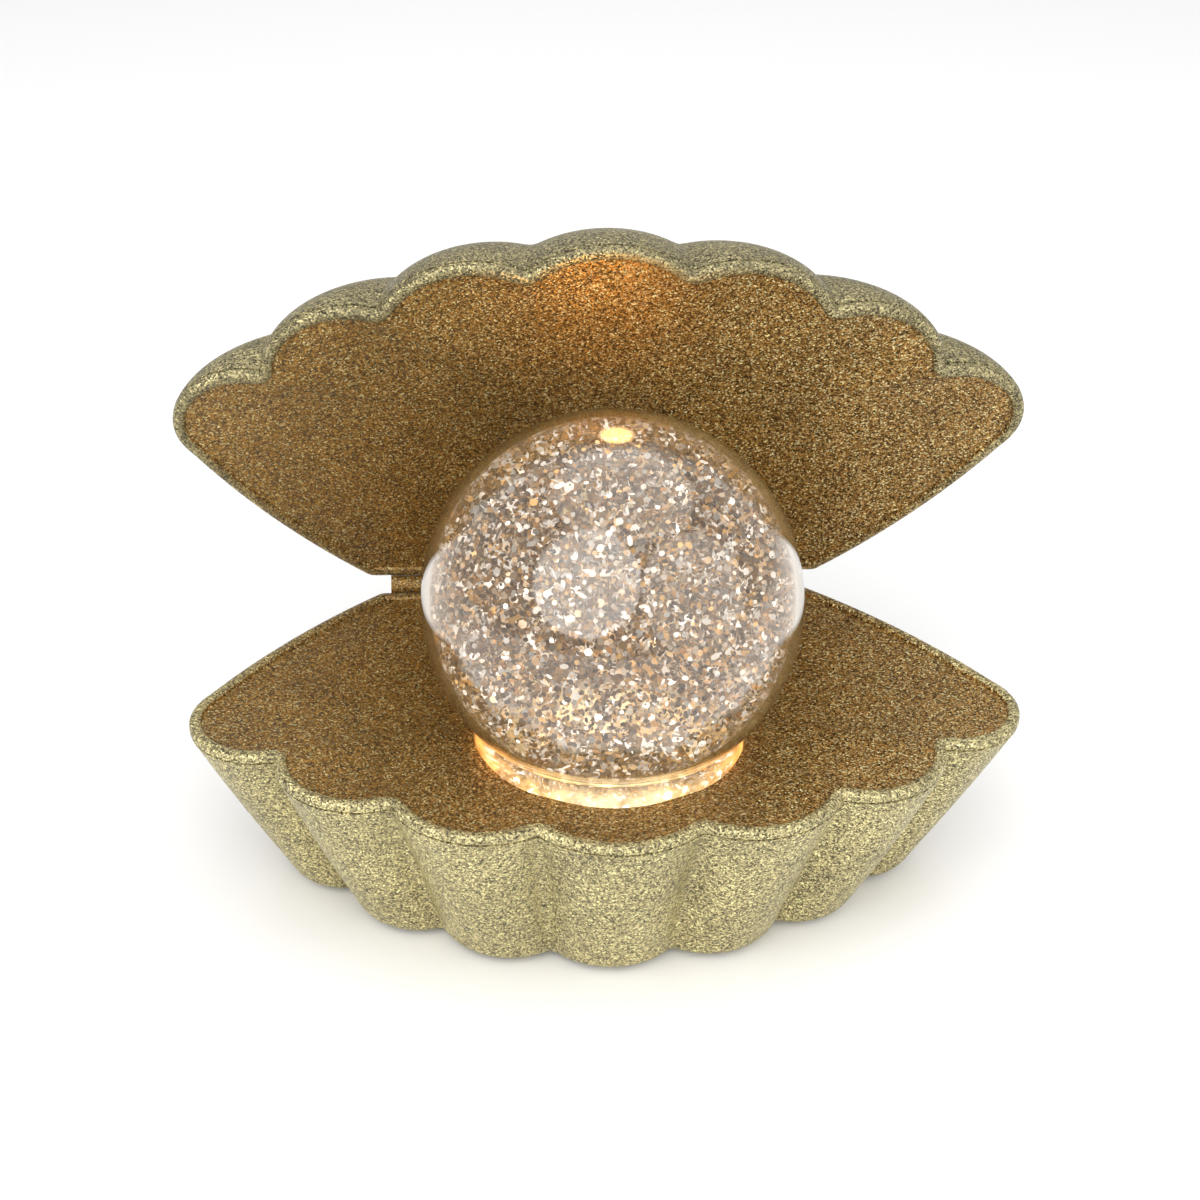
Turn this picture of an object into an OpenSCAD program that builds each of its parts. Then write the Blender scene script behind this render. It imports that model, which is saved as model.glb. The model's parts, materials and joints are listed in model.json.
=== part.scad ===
// Open clam-shell lamp with a liquid-filled glitter globe.
// +Z is up, the front of the shell faces -Y and the hinge line runs along X.
// The origin is the middle of the footprint, on the surface that the lamp stands on.

/* [Shell outline] */
// Full width of the lower half across its two side tips
shell_w = 225; // [200:1:280]
// Full depth of the lower half from the hinge line to the front lobe
shell_l = 128; // [112:1:160]
// Share of the width taken by the straight hinge edge
hinge_share = 0.55; // [0.45:0.01:0.6]
// How far each scallop bulges past the line through its two notches
lobe_rise = 9; // [5:0.5:12]
// How far each side edge bows out between the hinge corner and the tip
side_rise = 2.5; // [0.5:0.5:5]
// Radius of the two rounded side tips
tip_r = 18.5; // [14:0.5:24]

/* [Shell halves] */
// Wall thickness of the moulded shells
wall = 2.4; // [1.8:0.1:3.5]
// Height of the lower casing from its underside to the seam
base_h = 52.5; // [48:0.5:70]
// How much wider the lid is than the lower half at the hinge line
lid_back_share = 1.05; // [1:0.005:1.06]
// How much wider the lid is than the lower half at its front lobe
lid_front_share = 1.02; // [1:0.005:1.06]
// How much deeper the lid's outline is than the lower half's
lid_deep_share = 1.01; // [0.98:0.005:1.04]
// Depth of the domed lid behind its seam
dome_h = 44; // [28:1:50]
// How much the foot is narrower than the rim, side to side
foot_share_x = 0.77; // [0.65:0.01:0.9]
// How much the foot is shorter than the rim, front to back
foot_share_y = 0.85; // [0.75:0.01:0.95]
// How far the ribs swell out of the casing between rim and foot
rib_swell = 2.6; // [0:0.1:4]
// Height of the rounded lip above the seam
lip_h = 2.6; // [1.8:0.1:4]
// Width of the rounded lip
lip_w = 3.4; // [2.6:0.1:5]
// Depth of the dished inner faces below the lip
dish = 2.2; // [1:0.1:4]
// Height of the soft ridges that run in from the notches
ridge = 0.9; // [0:0.1:2]
// Thickness of the deck and of the lid liner
skin = 2.2; // [1.6:0.1:3]

/* [Lid hinge] */
// Angle that the lid stands open at rest
lid_open = 71; // [68:1:90]
// Half of the gap between the two lips at the hinge line
hinge_gap = 0.8; // [0.6:0.1:2]
// Radius of the steel hinge pin
pin_r = 1.5; // [1:0.1:2]
// Outer radius of the hinge knuckles
knuckle_r = 2.8; // [2.4:0.1:3]
// Length of the whole hinge barrel
barrel_l = 118; // [100:1:120]
// Width of the cover bars that carry the hinge
bar_w = 84; // [70:1:90]
// Running clearance of pins in their holes
run_gap = 0.05; // [0.02:0.01:0.1]

/* [Globe] */
// Outer diameter of the clear globe
globe_d = 100; // [80:1:110]
// Wall thickness of the globe
globe_wall = 2.2; // [1.6:0.1:3]
// Outer radius of the globe neck
neck_r = 36.2; // [30:0.5:40]
// Height of the globe centre above the lip
globe_rise = 38.5; // [36:0.5:44]
// Distance of the globe centre in front of the hinge line
globe_fwd = 72; // [70:0.5:84]
// Radius of the air bubble left under the top of the globe
bubble_r = 7; // [3:0.5:12]
// Clearance between pieces that are fitted by hand
fit_gap = 0.2; // [0.1:0.05:0.4]

/* [Drive and light] */
// Radius of the motor can
motor_r = 12; // [8:0.5:12.5]
// Length of the motor can
motor_l = 22; // [16:0.5:26]
// Radius of the motor shaft
shaft_r = 1; // [0.75:0.05:1.5]
// Radius of the stirring impeller
impeller_r = 14; // [10:0.5:20]
// Radius of the magnet carrier on the motor
rotor_r = 11.5; // [9:0.5:12]
// Number of lamps on the ring board
led_count = 6; // [3:1:10]

/* [Batteries] */
// Diameter of one AA cell
cell_d = 14.2; // [10:0.1:14.5]
// Length of one AA cell
cell_l = 50.2; // [44:0.1:50.5]
// Number of cells side by side
cell_count = 3; // [1:1:3]
// Thickness of the battery door
door_t = 1.6; // [1.2:0.1:2]

/* [Feet] */
// Height of the rubber feet below the casing
foot_h = 1.5; // [1:0.1:3]
// Radius of the rubber feet
foot_r = 6; // [4:0.5:8]

/* [Hidden] */
$fn = 64;

// ---- levels and places -------------------------------------------------
floor_t = 3;                              // floor of the lower casing
under_z = foot_h;                         // underside of the casing
floor_z = under_z + floor_t;              // inner floor
seam_z = under_z + base_h;                // seam between casing and deck
lip_z = seam_z + lip_h;                   // top of the deck's lip
hinge_z = lip_z + hinge_gap;              // hinge axis
hinge_y = 47.5;                           // hinge axis behind the origin
globe_y = hinge_y - globe_fwd;
globe_z = lip_z + globe_rise;
globe_r = globe_d / 2;
neck_z = lip_z - 9;                       // lower end of the neck
flange_r = neck_r + 1.8;
flange_t = 3;
plug_t = 5;                               // spigot of the plug inside the neck
bore_r = neck_r - globe_wall;             // inside of the neck
web_t = 1.6;                              // floor of the plug over the rotor
deck_hole_r = neck_r + 0.3;

// ---- outline -----------------------------------------------------------
// Points are [x, forward distance from the hinge line].  The six notches lie on one circle
// whose centre is behind the hinge line; each lobe is an arc through two notches.
half_w = shell_w / 2;
stretch = [shell_w / 232, shell_l / 128];
notch_angles = [9.4, 26.9, 43.4];
notch_circle_r = 133.6;
notch_circle_back = 12.6;
function notch(i) = [notch_circle_r * sin(notch_angles[i]) * stretch.x,
  (notch_circle_r * cos(notch_angles[i]) - notch_circle_back) * stretch.y];
edge_back = 2.4;                          // the back edge stays this far in front of the axis
corner = [half_w * hinge_share, edge_back];
tip_c = [half_w - tip_r,
  notch(2).y - sqrt(max(1, tip_r * tip_r - pow(notch(2).x - half_w + tip_r, 2)))];
tip_reach = norm(tip_c - corner);
tip_turn = atan2(tip_c.y - corner.y, tip_c.x - corner.x) - asin(tip_r / tip_reach);
tip_start = tip_turn - 90;
tip_end = atan2(notch(2).y - tip_c.y, notch(2).x - tip_c.x);

function mix(a, b, t) = a * (1 - t) + b * t;
function flip(p) = [-p.x, p.y];
// Arc of n points from p towards q that rises h past the chord; the last point is left out.
function lobe(p, q, h, n) =
  let (half = norm(q - p) / 2, r = (half * half + h * h) / (2 * h),
    out = [(q - p).y, -(q - p).x] / norm(q - p), c = (p + q) / 2 - out * (r - h),
    span = asin(half / r), mid = atan2(out.y, out.x))
  [for (i = [0:n - 1]) let (a = mid - span + 2 * span * i / n) c + r * [cos(a), sin(a)]];
lobe_n = 8;
tip_n = 9;
side_n = 5;
side_pts = lobe(corner, tip_c + tip_r * [cos(tip_start), sin(tip_start)], side_rise, side_n);
tip_pts = [for (i = [0:tip_n - 1]) let (a = mix(tip_start, tip_end, i / tip_n))
  tip_c + tip_r * [cos(a), sin(a)]];
function mirror_run(run) = [for (i = [len(run) - 1:-1:0]) flip(run[i])];
right_run = concat(side_pts, tip_pts, lobe(notch(2), notch(1), lobe_rise + 1, lobe_n),
  lobe(notch(1), notch(0), lobe_rise, lobe_n));
outline = concat(right_run, lobe(notch(0), flip(notch(0)), lobe_rise, lobe_n), [flip(notch(0))],
  mirror_run(right_run));
count = len(outline);
// How far a point is up its own lobe: 0 at a notch, 1 at the crest, for the ribs of the walls.
function crest_run(n) = [for (i = [0:n - 1]) sin(180 * i / n)];
right_crest = concat([for (i = [0:side_n - 1]) 0.5 + 0.5 * i / side_n],
  [for (i = [0:tip_n - 1]) cos(90 * i / tip_n)], crest_run(lobe_n), crest_run(lobe_n));
crest = concat(right_crest, crest_run(lobe_n), [0],
  [for (i = [len(right_crest) - 1:-1:0]) right_crest[i]]);
// Outward direction at each point, lengthened so that an offset keeps its width at corners.
function edge_out(i) = let (e = outline[(i + 1) % count] - outline[i]) [e.y, -e.x] / norm(e);
outward = [for (i = [0:count - 1]) let (a = edge_out((i + count - 1) % count), b = edge_out(i))
  (a + b) / (1 + a * b)];
// One ring of a shell: the outline at a size, moved outwards by grow and scaled about a point ahead of
// the hinge. A size is the width share at the hinge, the width share at the front and the depth share.
plain_size = [1, 1, 1];
function ring(z, grow = 0, scale_x = 1, scale_y = 1, centre_y = 0, swell = 0, rise = 0, size = plain_size) =
  [for (i = [0:count - 1])
    let (p = [outline[i].x * mix(size[0], size[1], outline[i].y / shell_l), outline[i].y * size[2]]
      + outward[i] * (grow + swell * (crest[i] - 0.5)))
    [p.x * scale_x, -(centre_y + (p.y - centre_y) * scale_y), z + rise * (1 - crest[i])]];

// ---- shared solids -----------------------------------------------------
// Closed solid through a list of rings that run from its top cap round to its bottom cap.
module loft(rings) {
  n = len(rings[0]);
  last = (len(rings) - 1) * n;
  polyhedron(points = [for (r = rings) each r],
    faces = concat([[for (i = [0:n - 1]) i]], [[for (i = [n - 1:-1:0]) last + i]],
      [for (k = [0:len(rings) - 2]) for (i = [0:n - 1]) let (j = (i + 1) % n)
        each [[k * n + i, (k + 1) * n + i, (k + 1) * n + j], [k * n + i, (k + 1) * n + j, k * n + j]]]));
}
module at_hinge() { translate([0, hinge_y, hinge_z]) children(); }
// Puts a piece that is drawn like the lower half into the opened lid.
module in_lid() { at_hinge() rotate([-lid_open, 0, 0]) mirror([0, 0, 1]) children(); }
module at_globe(z) { translate([0, globe_y, z]) children(); }
// Copies round the globe's axis.
module around(radius, angles) { for (a = angles) rotate(a) translate([radius, 0, 0]) children(); }
module both_sides(x) { for (side = [-1, 1]) translate([side * x, 0, 0]) children(); }
// A block given by its middle in X and Y and its lower face.
module block(size) { translate([-size.x / 2, -size.y / 2, 0]) cube(size); }
module tube(outer, inner, h) {
  difference() {
    cylinder(r = outer, h = h);
    translate([0, 0, -1]) cylinder(r = inner, h = h + 2);
  }
}
// Crosshead screw with its head below z = 0 and its shank above.
module screw(shank_r, shank_l, head_r, head_h) {
  difference() {
    union() {
      cylinder(r = shank_r, h = shank_l);
      translate([0, 0, -head_h]) cylinder(r = head_r, h = head_h);
    }
    for (a = [0, 90]) rotate(a) translate([-head_r * 0.6, -head_r * 0.12, -head_h - 1])
      cube([head_r * 1.2, head_r * 0.24, 1 + head_h * 0.5]);
  }
}
module along_x() { rotate([0, 90, 0]) children(); }

// ---- shells ------------------------------------------------------------
top_local = -hinge_gap;                   // lip top, measured from the hinge axis
seam_local = top_local - lip_h;
foot_round = 3;
// A ring of the lower casing at share k of the way from the seam to the foot.
function casing_ring(k, grow) = ring(seam_local - k * base_h, grow, 1 - (1 - foot_share_x) * k,
  1 - (1 - foot_share_y) * k, 0, rib_swell * sin(180 * k));
casing_steps = [0, 0.12, 0.28, 0.46, 0.64, 0.8];
floor_k = 1 - floor_t / base_h;
module casing_body() {
  loft(concat([casing_ring(floor_k, -wall - 1.5)],
    [for (i = [len(casing_steps) - 1:-1:0]) casing_ring(casing_steps[i], -wall)],
    [for (k = casing_steps) casing_ring(k, 0)],
    [casing_ring(1 - foot_round / base_h, 0), casing_ring(1 - 0.3 * foot_round / base_h, -0.3 * foot_round),
     casing_ring(1, -foot_round)]));
}
// The lid is a dome: its rings follow an ellipse that starts a little past upright, and its ribs fade
// away from the rim.
lid_size = [lid_back_share, lid_front_share, lid_deep_share];
dome_start = 5;
dome_centre = 40 * stretch.y;
dome_steps = [5, 12, 21, 32, 44, 57, 70, 83];
function dome_ring(a, depth, grow) = ring(seam_local - depth * (sin(a) - sin(dome_start)) / (1 - sin(dome_start)),
  grow, cos(a) / cos(dome_start), cos(a) / cos(dome_start), dome_centre, -rib_swell * sin(2 * (a - dome_start)),
  0, lid_size);
module dome_body() {
  loft(concat([for (i = [len(dome_steps) - 1:-1:0]) dome_ring(dome_steps[i], dome_h - wall, -wall)],
    [for (a = dome_steps) dome_ring(a, dome_h, 0)]));
}
// The tray is the visible inner face with its rounded lip; the deck and the lid liner are both trays.
lip_step = 1.1;                           // drop from the lip to the inner face
tray_centre = 58 * stretch.y;
skirt_t = 1.8;
skirt_l = 3;
tray_steps = [0.05, 0.3, 0.52, 0.7, 0.84, 0.95];
function tray_ring(s, drop, size) = ring(top_local - lip_step - dish * (1 - s * s) - drop, -lip_w, s, s,
  tray_centre, 0, ridge * s * s * (1.4 - s), size);
// How far each wall has leant in at the lower end of the skirt that sits inside it.
casing_lean = half_w * (1 - foot_share_x) * skirt_l / base_h + rib_swell * sin(180 * skirt_l / base_h) / 2;
dome_turn = asin(sin(dome_start) + skirt_l / (dome_h - wall) * (1 - sin(dome_start)));
dome_lean = half_w * lid_back_share * (1 - cos(dome_turn) / cos(dome_start))
  + rib_swell * sin(2 * (dome_turn - dome_start)) / 2;
// Height and inset of the points round the lip, the seam and the locating skirt, from inside to outside.
function lip_run(lean) = [[top_local - lip_step, lip_w], [top_local - 0.35, lip_w * 0.78],
  [top_local, lip_w * 0.5], [top_local - 0.3, lip_w * 0.2], [top_local - 1, 0], [seam_local, 0],
  [seam_local, wall + fit_gap], [seam_local - skirt_l, wall + fit_gap + lean],
  [seam_local - skirt_l, wall + fit_gap + lean + skirt_t],
  [top_local - lip_step - skin, wall + fit_gap + skirt_t + 0.4]];
module tray_body(size, lean) {
  loft(concat([for (s = tray_steps) tray_ring(s, 0, size)],
    [for (step = lip_run(lean)) ring(step[0], -step[1], size = size)],
    [for (i = [len(tray_steps) - 2:-1:0]) tray_ring(tray_steps[i], skin, size)]));
}
// Room for the hinge in the back edge of a shell or tray, down to a depth below the axis.
bracket_depth = 8.4;
bar_top = top_local - lip_step;
bar_t = 3.5;
module hinge_cut(depth) {
  translate([-bar_w / 2 - fit_gap, -bracket_depth - fit_gap, -depth])
    cube([bar_w + 2 * fit_gap, 20, 30]);
}
shell_cut = bar_t + 0.4 - bar_top;
tray_cut = skirt_l + 0.6 - seam_local;
// Each leaf of the hinge is screwed to two bosses under its tray.
leaf_t = 2;
leaf_z = top_local - lip_step - skin - dish - ridge - leaf_t;
boss_at = [28, 16.5];
hinge_screw_r = 1.3;
module at_bosses() { both_sides(boss_at.x) translate([0, -boss_at.y, 0]) children(); }
module hinge_bosses() {
  at_bosses() translate([0, 0, leaf_z + leaf_t]) cylinder(r = 3.5, h = bar_top - dish - 0.6 - leaf_z - leaf_t);
}
module hinge_pilots() {
  at_bosses() translate([0, 0, leaf_z]) cylinder(r = hinge_screw_r + 0.02, h = leaf_t + 4);
}

// Case posts: screws come up through the casing into bosses on the deck.
post_rear = [46, 14];
post_front = [56, 78];
post_top = 32;
post_r = 4.2;
case_screw_r = 1.45;
case_head_r = 2.7;
module at_posts() {
  for (p = [post_rear, post_front]) both_sides(p.x * stretch.x) translate([0, hinge_y - p.y * stretch.y, 0])
    children();
}
// Batteries, door and switch openings in the floor.
cell_pitch = cell_d + 0.6;
bay_w = cell_l + 4.6;
bay_d = cell_count * cell_pitch + 0.6;
box_wall = 1.6;
bay_y = hinge_y - 9 - bay_d / 2;
door_recess = door_t + 0.1;
door_half = bay_w / 2 + 1.4;
door_axis = [bay_y + bay_d / 2 + 0.6, under_z + 0.9];
door_front_y = bay_y - bay_d / 2 - 1.2;
tongue_w = 9;
boss_r = 3.6;
tongue_y = door_front_y - boss_r - 0.8;
door_pin_r = 0.8;
door_screw_r = 1.15;
switch_at = [50, globe_y + 6];
switch_travel = 4;
knob_w = 3.6;
board_at = [-38.5, globe_y + 1.25];
board_size = [22, 28, 1.6];
board_lift = 4;
module at_board_posts() {
  for (x = [-1, 1], y = [-1, 1]) translate([board_at.x + x * (board_size.x / 2 - 3),
    board_at.y + y * (board_size.y / 2 - 3), 0]) children();
}
module lower_shell() {
  color([0.72, 0.70, 0.50]) difference() {
    union() {
      difference() {
        at_hinge() casing_body();
        at_hinge() hinge_cut(shell_cut);
      }
      at_posts() translate([0, 0, under_z + 0.5]) cylinder(r = post_r, h = post_top - under_z - 0.5);
      translate([0, tongue_y, under_z + door_recess]) cylinder(r = boss_r, h = 6.4);
      at_board_posts() translate([0, 0, floor_z - 0.5]) cylinder(r = 2, h = board_lift + 0.5);
    }
    at_posts() {
      translate([0, 0, -1]) cylinder(r = case_head_r + 0.3, h = post_top - 3 + 1);
      cylinder(r = case_screw_r + 0.25, h = post_top + 1);
    }
    // door recess, with its tongue, and the way through to the cells
    translate([-door_half - 0.3, door_front_y - 0.3, 0])
      cube([2 * door_half + 0.6, door_axis.x + 1.8 - door_front_y + 0.3, under_z + door_recess]);
    translate([-tongue_w / 2 - 0.3, tongue_y - 3.7, 0]) cube([tongue_w + 0.6, 9, under_z + door_recess]);
    translate([-bay_w / 2, bay_y - bay_d / 2, 0])
      cube([bay_w, door_axis.x + 1.8 - bay_y + bay_d / 2, floor_z + 1]);
    translate([0, tongue_y, 0]) cylinder(r = door_screw_r + 0.02, h = under_z + door_recess + 5.8);
    translate([-door_half - 2, door_axis.x, door_axis.y]) along_x()
      cylinder(r = door_pin_r + run_gap, h = 2 * door_half + 4);
    // switch slot
    translate([switch_at.x, switch_at.y, 0]) block([knob_w + switch_travel + 0.6, knob_w - 0.6, 20]);
    translate([switch_at.x, switch_at.y, 0]) block([knob_w + switch_travel + 5, knob_w + 4, under_z + 1]);
  }
}
collar_screw_at = 43;
collar_angles = [45:90:315];
collar_top = neck_z + 0.4;
module deck() {
  color([0.50, 0.37, 0.16]) difference() {
    union() {
      difference() {
        at_hinge() tray_body(plain_size, casing_lean);
        at_hinge() hinge_cut(tray_cut);
      }
      at_hinge() hinge_bosses();
      at_posts() translate([0, 0, post_top]) cylinder(r = 3.6, h = lip_z - 3.4 - post_top);
      at_globe(collar_top) around(collar_screw_at, collar_angles)
        cylinder(r = 3.2, h = lip_z - 3.6 - collar_top);
    }
    at_hinge() hinge_pilots();
    at_globe(0) cylinder(r = deck_hole_r, h = lip_z + 5);
    at_posts() translate([0, 0, post_top - 1]) cylinder(r = case_screw_r + 0.02, h = 13);
    at_globe(collar_top - 1) around(collar_screw_at, collar_angles)
      cylinder(r = collar_screw_r + 0.02, h = 5.4);
  }
}
module lid_shell() {
  color([0.72, 0.70, 0.50]) in_lid() difference() {
    dome_body();
    hinge_cut(shell_cut);
  }
}
module lid_liner() {
  color([0.50, 0.37, 0.16]) in_lid() difference() {
    union() {
      difference() {
        tray_body(lid_size, dome_lean);
        hinge_cut(tray_cut);
      }
      hinge_bosses();
    }
    hinge_pilots();
  }
}

// ---- hinge -------------------------------------------------------------
washer_t = 0.6;
lid_knuckle = bar_w * 0.4;                // half length of the lid's middle knuckle
washer_gap = 0.1;
base_knuckle = lid_knuckle + washer_t + 2 * washer_gap;
bar_back = 3.2;
plate_back = 6;
plate_front = 21;
// Cover bar, web and screwed plate, with knuckles from x = span[0] to x = span[1] on the hinge axis.
module hinge_leaf(spans) {
  plate_w = bar_w - 6;
  difference() {
    union() {
      translate([-bar_w / 2, -bracket_depth, bar_top - bar_t])
        cube([bar_w, bracket_depth - bar_back, bar_t]);
      translate([-plate_w / 2, -bracket_depth, leaf_z])
        cube([plate_w, bracket_depth - plate_back, bar_top - 1 - leaf_z]);
      translate([-plate_w / 2, -plate_front, leaf_z]) cube([plate_w, plate_front - plate_back, leaf_t]);
      for (span = spans) {
        translate([span[0], 0, 0]) along_x() cylinder(r = knuckle_r, h = span[1] - span[0]);
        low = max(span[0], -bar_w / 2);
        translate([low, -bar_back - 1, bar_top - 3]) cube([min(span[1], bar_w / 2) - low, bar_back + 1, 2.6]);
      }
    }
    translate([-barrel_l, 0, 0]) along_x() cylinder(r = pin_r + run_gap, h = 2 * barrel_l);
    at_bosses() translate([0, 0, leaf_z - 1]) cylinder(r = hinge_screw_r + 0.2, h = leaf_t + 2);
  }
}
module base_hinge_bracket() {
  color([0.45, 0.36, 0.20]) at_hinge()
    hinge_leaf([[-barrel_l / 2, -base_knuckle], [base_knuckle, barrel_l / 2]]);
}
module lid_hinge_bracket() {
  color([0.45, 0.36, 0.20]) in_lid() hinge_leaf([[-lid_knuckle, lid_knuckle]]);
}
module hinge_pin() {
  color("silver") at_hinge() translate([-barrel_l / 2, 0, 0]) along_x() cylinder(r = pin_r, h = barrel_l);
}
module friction_washers() {
  color("dimgray") at_hinge() both_sides(lid_knuckle + washer_gap + washer_t / 2)
    translate([-washer_t / 2, 0, 0]) along_x() tube(knuckle_r - 0.3, pin_r + run_gap, washer_t);
}
module leaf_screws() { at_bosses() translate([0, 0, leaf_z]) screw(hinge_screw_r, 5.4, 2.4, 1.6); }
module base_hinge_screws() { color("silver") at_hinge() leaf_screws(); }
module lid_hinge_screws() { color("silver") in_lid() leaf_screws(); }

// ---- globe -------------------------------------------------------------
neck_top = globe_z - sqrt(globe_r * globe_r - neck_r * neck_r) + 1.5;   // ends inside the ball's wall
module globe() {
  color([0.9, 0.9, 0.92, 0.4]) difference() {
    union() {
      at_globe(globe_z) sphere(r = globe_r, $fn = 96);
      at_globe(neck_z) cylinder(r = neck_r, h = neck_top - neck_z);
    }
    at_globe(globe_z) sphere(r = globe_r - globe_wall, $fn = 96);
    at_globe(neck_z - 1) cylinder(r = bore_r, h = neck_top - neck_z + 2);
    at_globe(neck_z - 40) cylinder(r = globe_r, h = 40);
  }
}
plug_top = neck_z + plug_t;
film = 0.05;                              // the liquid stays this far off its container
module globe_liquid() {
  liquid_r = globe_r - globe_wall - film;
  level = globe_z + sqrt(liquid_r * liquid_r - bubble_r * bubble_r);
  color([0.8, 0.75, 0.6, 0.5]) difference() {
    union() {
      at_globe(globe_z) sphere(r = liquid_r, $fn = 96);
      at_globe(plug_top + film) cylinder(r = bore_r - film, h = neck_top - plug_top);
    }
    at_globe(level) cylinder(r = globe_r, h = globe_r);
    at_globe(plug_top + film - 40) cylinder(r = globe_r, h = 40);
    at_globe(plug_top) cylinder(r = impeller_r + 1, h = 8);
  }
}
rotor_room = rotor_r + 3;
groove_z = neck_z + 1.6;
seal_r = 1;
module globe_plug() {
  color([0.85, 0.85, 0.85, 0.6]) at_globe(0) difference() {
    union() {
      translate([0, 0, neck_z - flange_t]) cylinder(r = flange_r, h = flange_t);
      translate([0, 0, neck_z]) cylinder(r = bore_r - fit_gap, h = plug_t);
      translate([0, 0, plug_top]) cylinder(r = 2.4, h = 0.4);
    }
    translate([0, 0, neck_z - flange_t - 1]) cylinder(r = rotor_room, h = flange_t + plug_t - web_t + 1);
    translate([0, 0, plug_top - 1]) cylinder(r = spindle_r + 0.02, h = 3);
    translate([0, 0, groove_z]) tube(bore_r + 1, bore_r - fit_gap - 2 * seal_r + 0.1, 2 * seal_r + 0.2);
  }
}
module globe_seal() {
  color("dimgray") at_globe(groove_z + seal_r + 0.1)
    rotate_extrude() translate([bore_r - seal_r - 0.08, 0]) circle(r = seal_r, $fn = 24);
}
collar_r = flange_r + fit_gap + 2.4;
ledge_r = bore_r - 1;
board_r = neck_r - 0.1;
ledge_z = neck_z - flange_t - 3.5;        // underside of the ledge, where the board rests
collar_low = ledge_z - 4.4;
bracket_angles = [90:120:330];
bracket_at = 42.4;
module globe_collar() {
  color("whitesmoke") at_globe(0) difference() {
    union() {
      translate([0, 0, collar_low]) cylinder(r = collar_r, h = collar_top - collar_low);
      translate([0, 0, collar_top - 3]) around(collar_screw_at, collar_angles) cylinder(r = 3.4, h = 3);
      translate([0, 0, collar_low]) around(bracket_at, bracket_angles)
        cylinder(r = 3, h = collar_top - collar_low - 1);
    }
    translate([0, 0, neck_z - flange_t - 0.1]) cylinder(r = flange_r + fit_gap, h = 20);
    translate([0, 0, collar_low - 1]) cylinder(r = ledge_r, h = 30);
    translate([0, 0, collar_low - 1]) cylinder(r = board_r + fit_gap, h = ledge_z - collar_low + 1);
    translate([0, 0, collar_low]) around(collar_screw_at, collar_angles)
      cylinder(r = collar_screw_r + 0.2, h = 30);
    translate([0, 0, collar_low - 1]) around(bracket_at, bracket_angles)
      cylinder(r = collar_screw_r + 0.02, h = 6.4);
  }
}
collar_screw_r = 1.3;
module collar_screws() {
  color("silver") at_globe(collar_top - 3) around(collar_screw_at, collar_angles)
    screw(collar_screw_r, 7, 2.4, 1.6);
}

// ---- impeller, rotor and motor ----------------------------------------
spindle_r = 1;
wheel_z = plug_top + 0.6;
hub_r = 7;
wheel_h = 5;
magnet_in = 3;
magnet_out = 6;
magnet_h = 2.5;
module impeller() {
  color("white") at_globe(wheel_z) difference() {
    union() {
      cylinder(r = impeller_r, h = 1.2);
      cylinder(r = hub_r, h = wheel_h - 0.6);
      for (a = [0:60:300]) rotate(a) translate([hub_r - 1, -0.6, 0])
        cube([impeller_r - hub_r + 0.4, 1.2, wheel_h]);
    }
    translate([0, 0, -1]) cylinder(r = spindle_r + run_gap, h = 10);
    translate([0, 0, -0.1]) tube(magnet_out, magnet_in, magnet_h + 0.2);
  }
}
module impeller_magnet() {
  color("dimgray") at_globe(wheel_z) tube(magnet_out - 0.05, magnet_in + 0.05, magnet_h);
}
module impeller_spindle() {
  color("silver") at_globe(plug_top - 1) {
    cylinder(r = spindle_r, h = 1.6 + wheel_h);
    translate([0, 0, 1.6 + wheel_h]) cylinder(r = 1.9, h = 0.6);
  }
}
rotor_z = neck_z - flange_t + 1.2;
rotor_h = 4.2;
motor_top = ledge_z - 0.5;
module drive_rotor() {
  color("ivory") at_globe(0) difference() {
    union() {
      translate([0, 0, rotor_z]) cylinder(r = rotor_r, h = rotor_h);
      translate([0, 0, rotor_z - 2.4]) cylinder(r = 3, h = 3);
      translate([0, 0, motor_top - 4]) cylinder(r = shaft_r, h = rotor_z - motor_top + 4);
    }
    translate([0, 0, rotor_z + rotor_h - 2.2]) around(rotor_r - 4.2, [0, 180])
      cylinder(r = 3, h = 4);
  }
}
module drive_magnets() {
  color("dimgray") at_globe(rotor_z + rotor_h - 2.2) around(rotor_r - 4.2, [0, 180])
    cylinder(r = 2.95, h = 2);
}
module motor() {
  color("silver") at_globe(motor_top - motor_l) difference() {
    union() {
      cylinder(r = motor_r, h = motor_l);
      translate([0, 0, motor_l - 0.5]) cylinder(r = 3, h = 1.6);
      for (side = [-1, 1]) translate([side * 6, 0, -1.5]) block([0.6, 2.4, 2]);
    }
    translate([0, 0, motor_l - 5]) cylinder(r = shaft_r + run_gap, h = 8);
  }
}
bracket_t = 2.4;
module motor_bracket() {
  color("whitesmoke") at_globe(collar_low - bracket_t) difference() {
    union() {
      tube(collar_r, 31, bracket_t);
      around(bracket_at, bracket_angles) cylinder(r = 3.2, h = bracket_t);
      translate([0, 0, -7]) cylinder(r = motor_r + 2.4, h = 7 + bracket_t);
      for (a = bracket_angles) rotate(a) translate([motor_r, -4, 0]) cube([26, 8, bracket_t]);
      for (a = bracket_angles) rotate(a) translate([motor_r + 1, -0.8, -5]) cube([20, 1.6, 5.5]);
      tube(board_r - 0.4, board_r - 3, ledge_z - 1.6 - collar_low + bracket_t);
    }
    translate([0, 0, -8]) cylinder(r = motor_r + 0.05, h = 20);
    translate([0, 0, -1]) around(bracket_at, bracket_angles) cylinder(r = collar_screw_r + 0.2, h = 20);
  }
}
module bracket_screws() {
  color("silver") at_globe(collar_low - bracket_t) around(bracket_at, bracket_angles)
    screw(collar_screw_r, 7, 2.4, 1.6);
}
board_in = motor_r + 1.6;
module led_board() { color("green") at_globe(ledge_z - 1.6) tube(board_r, board_in, 1.6); }
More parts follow.
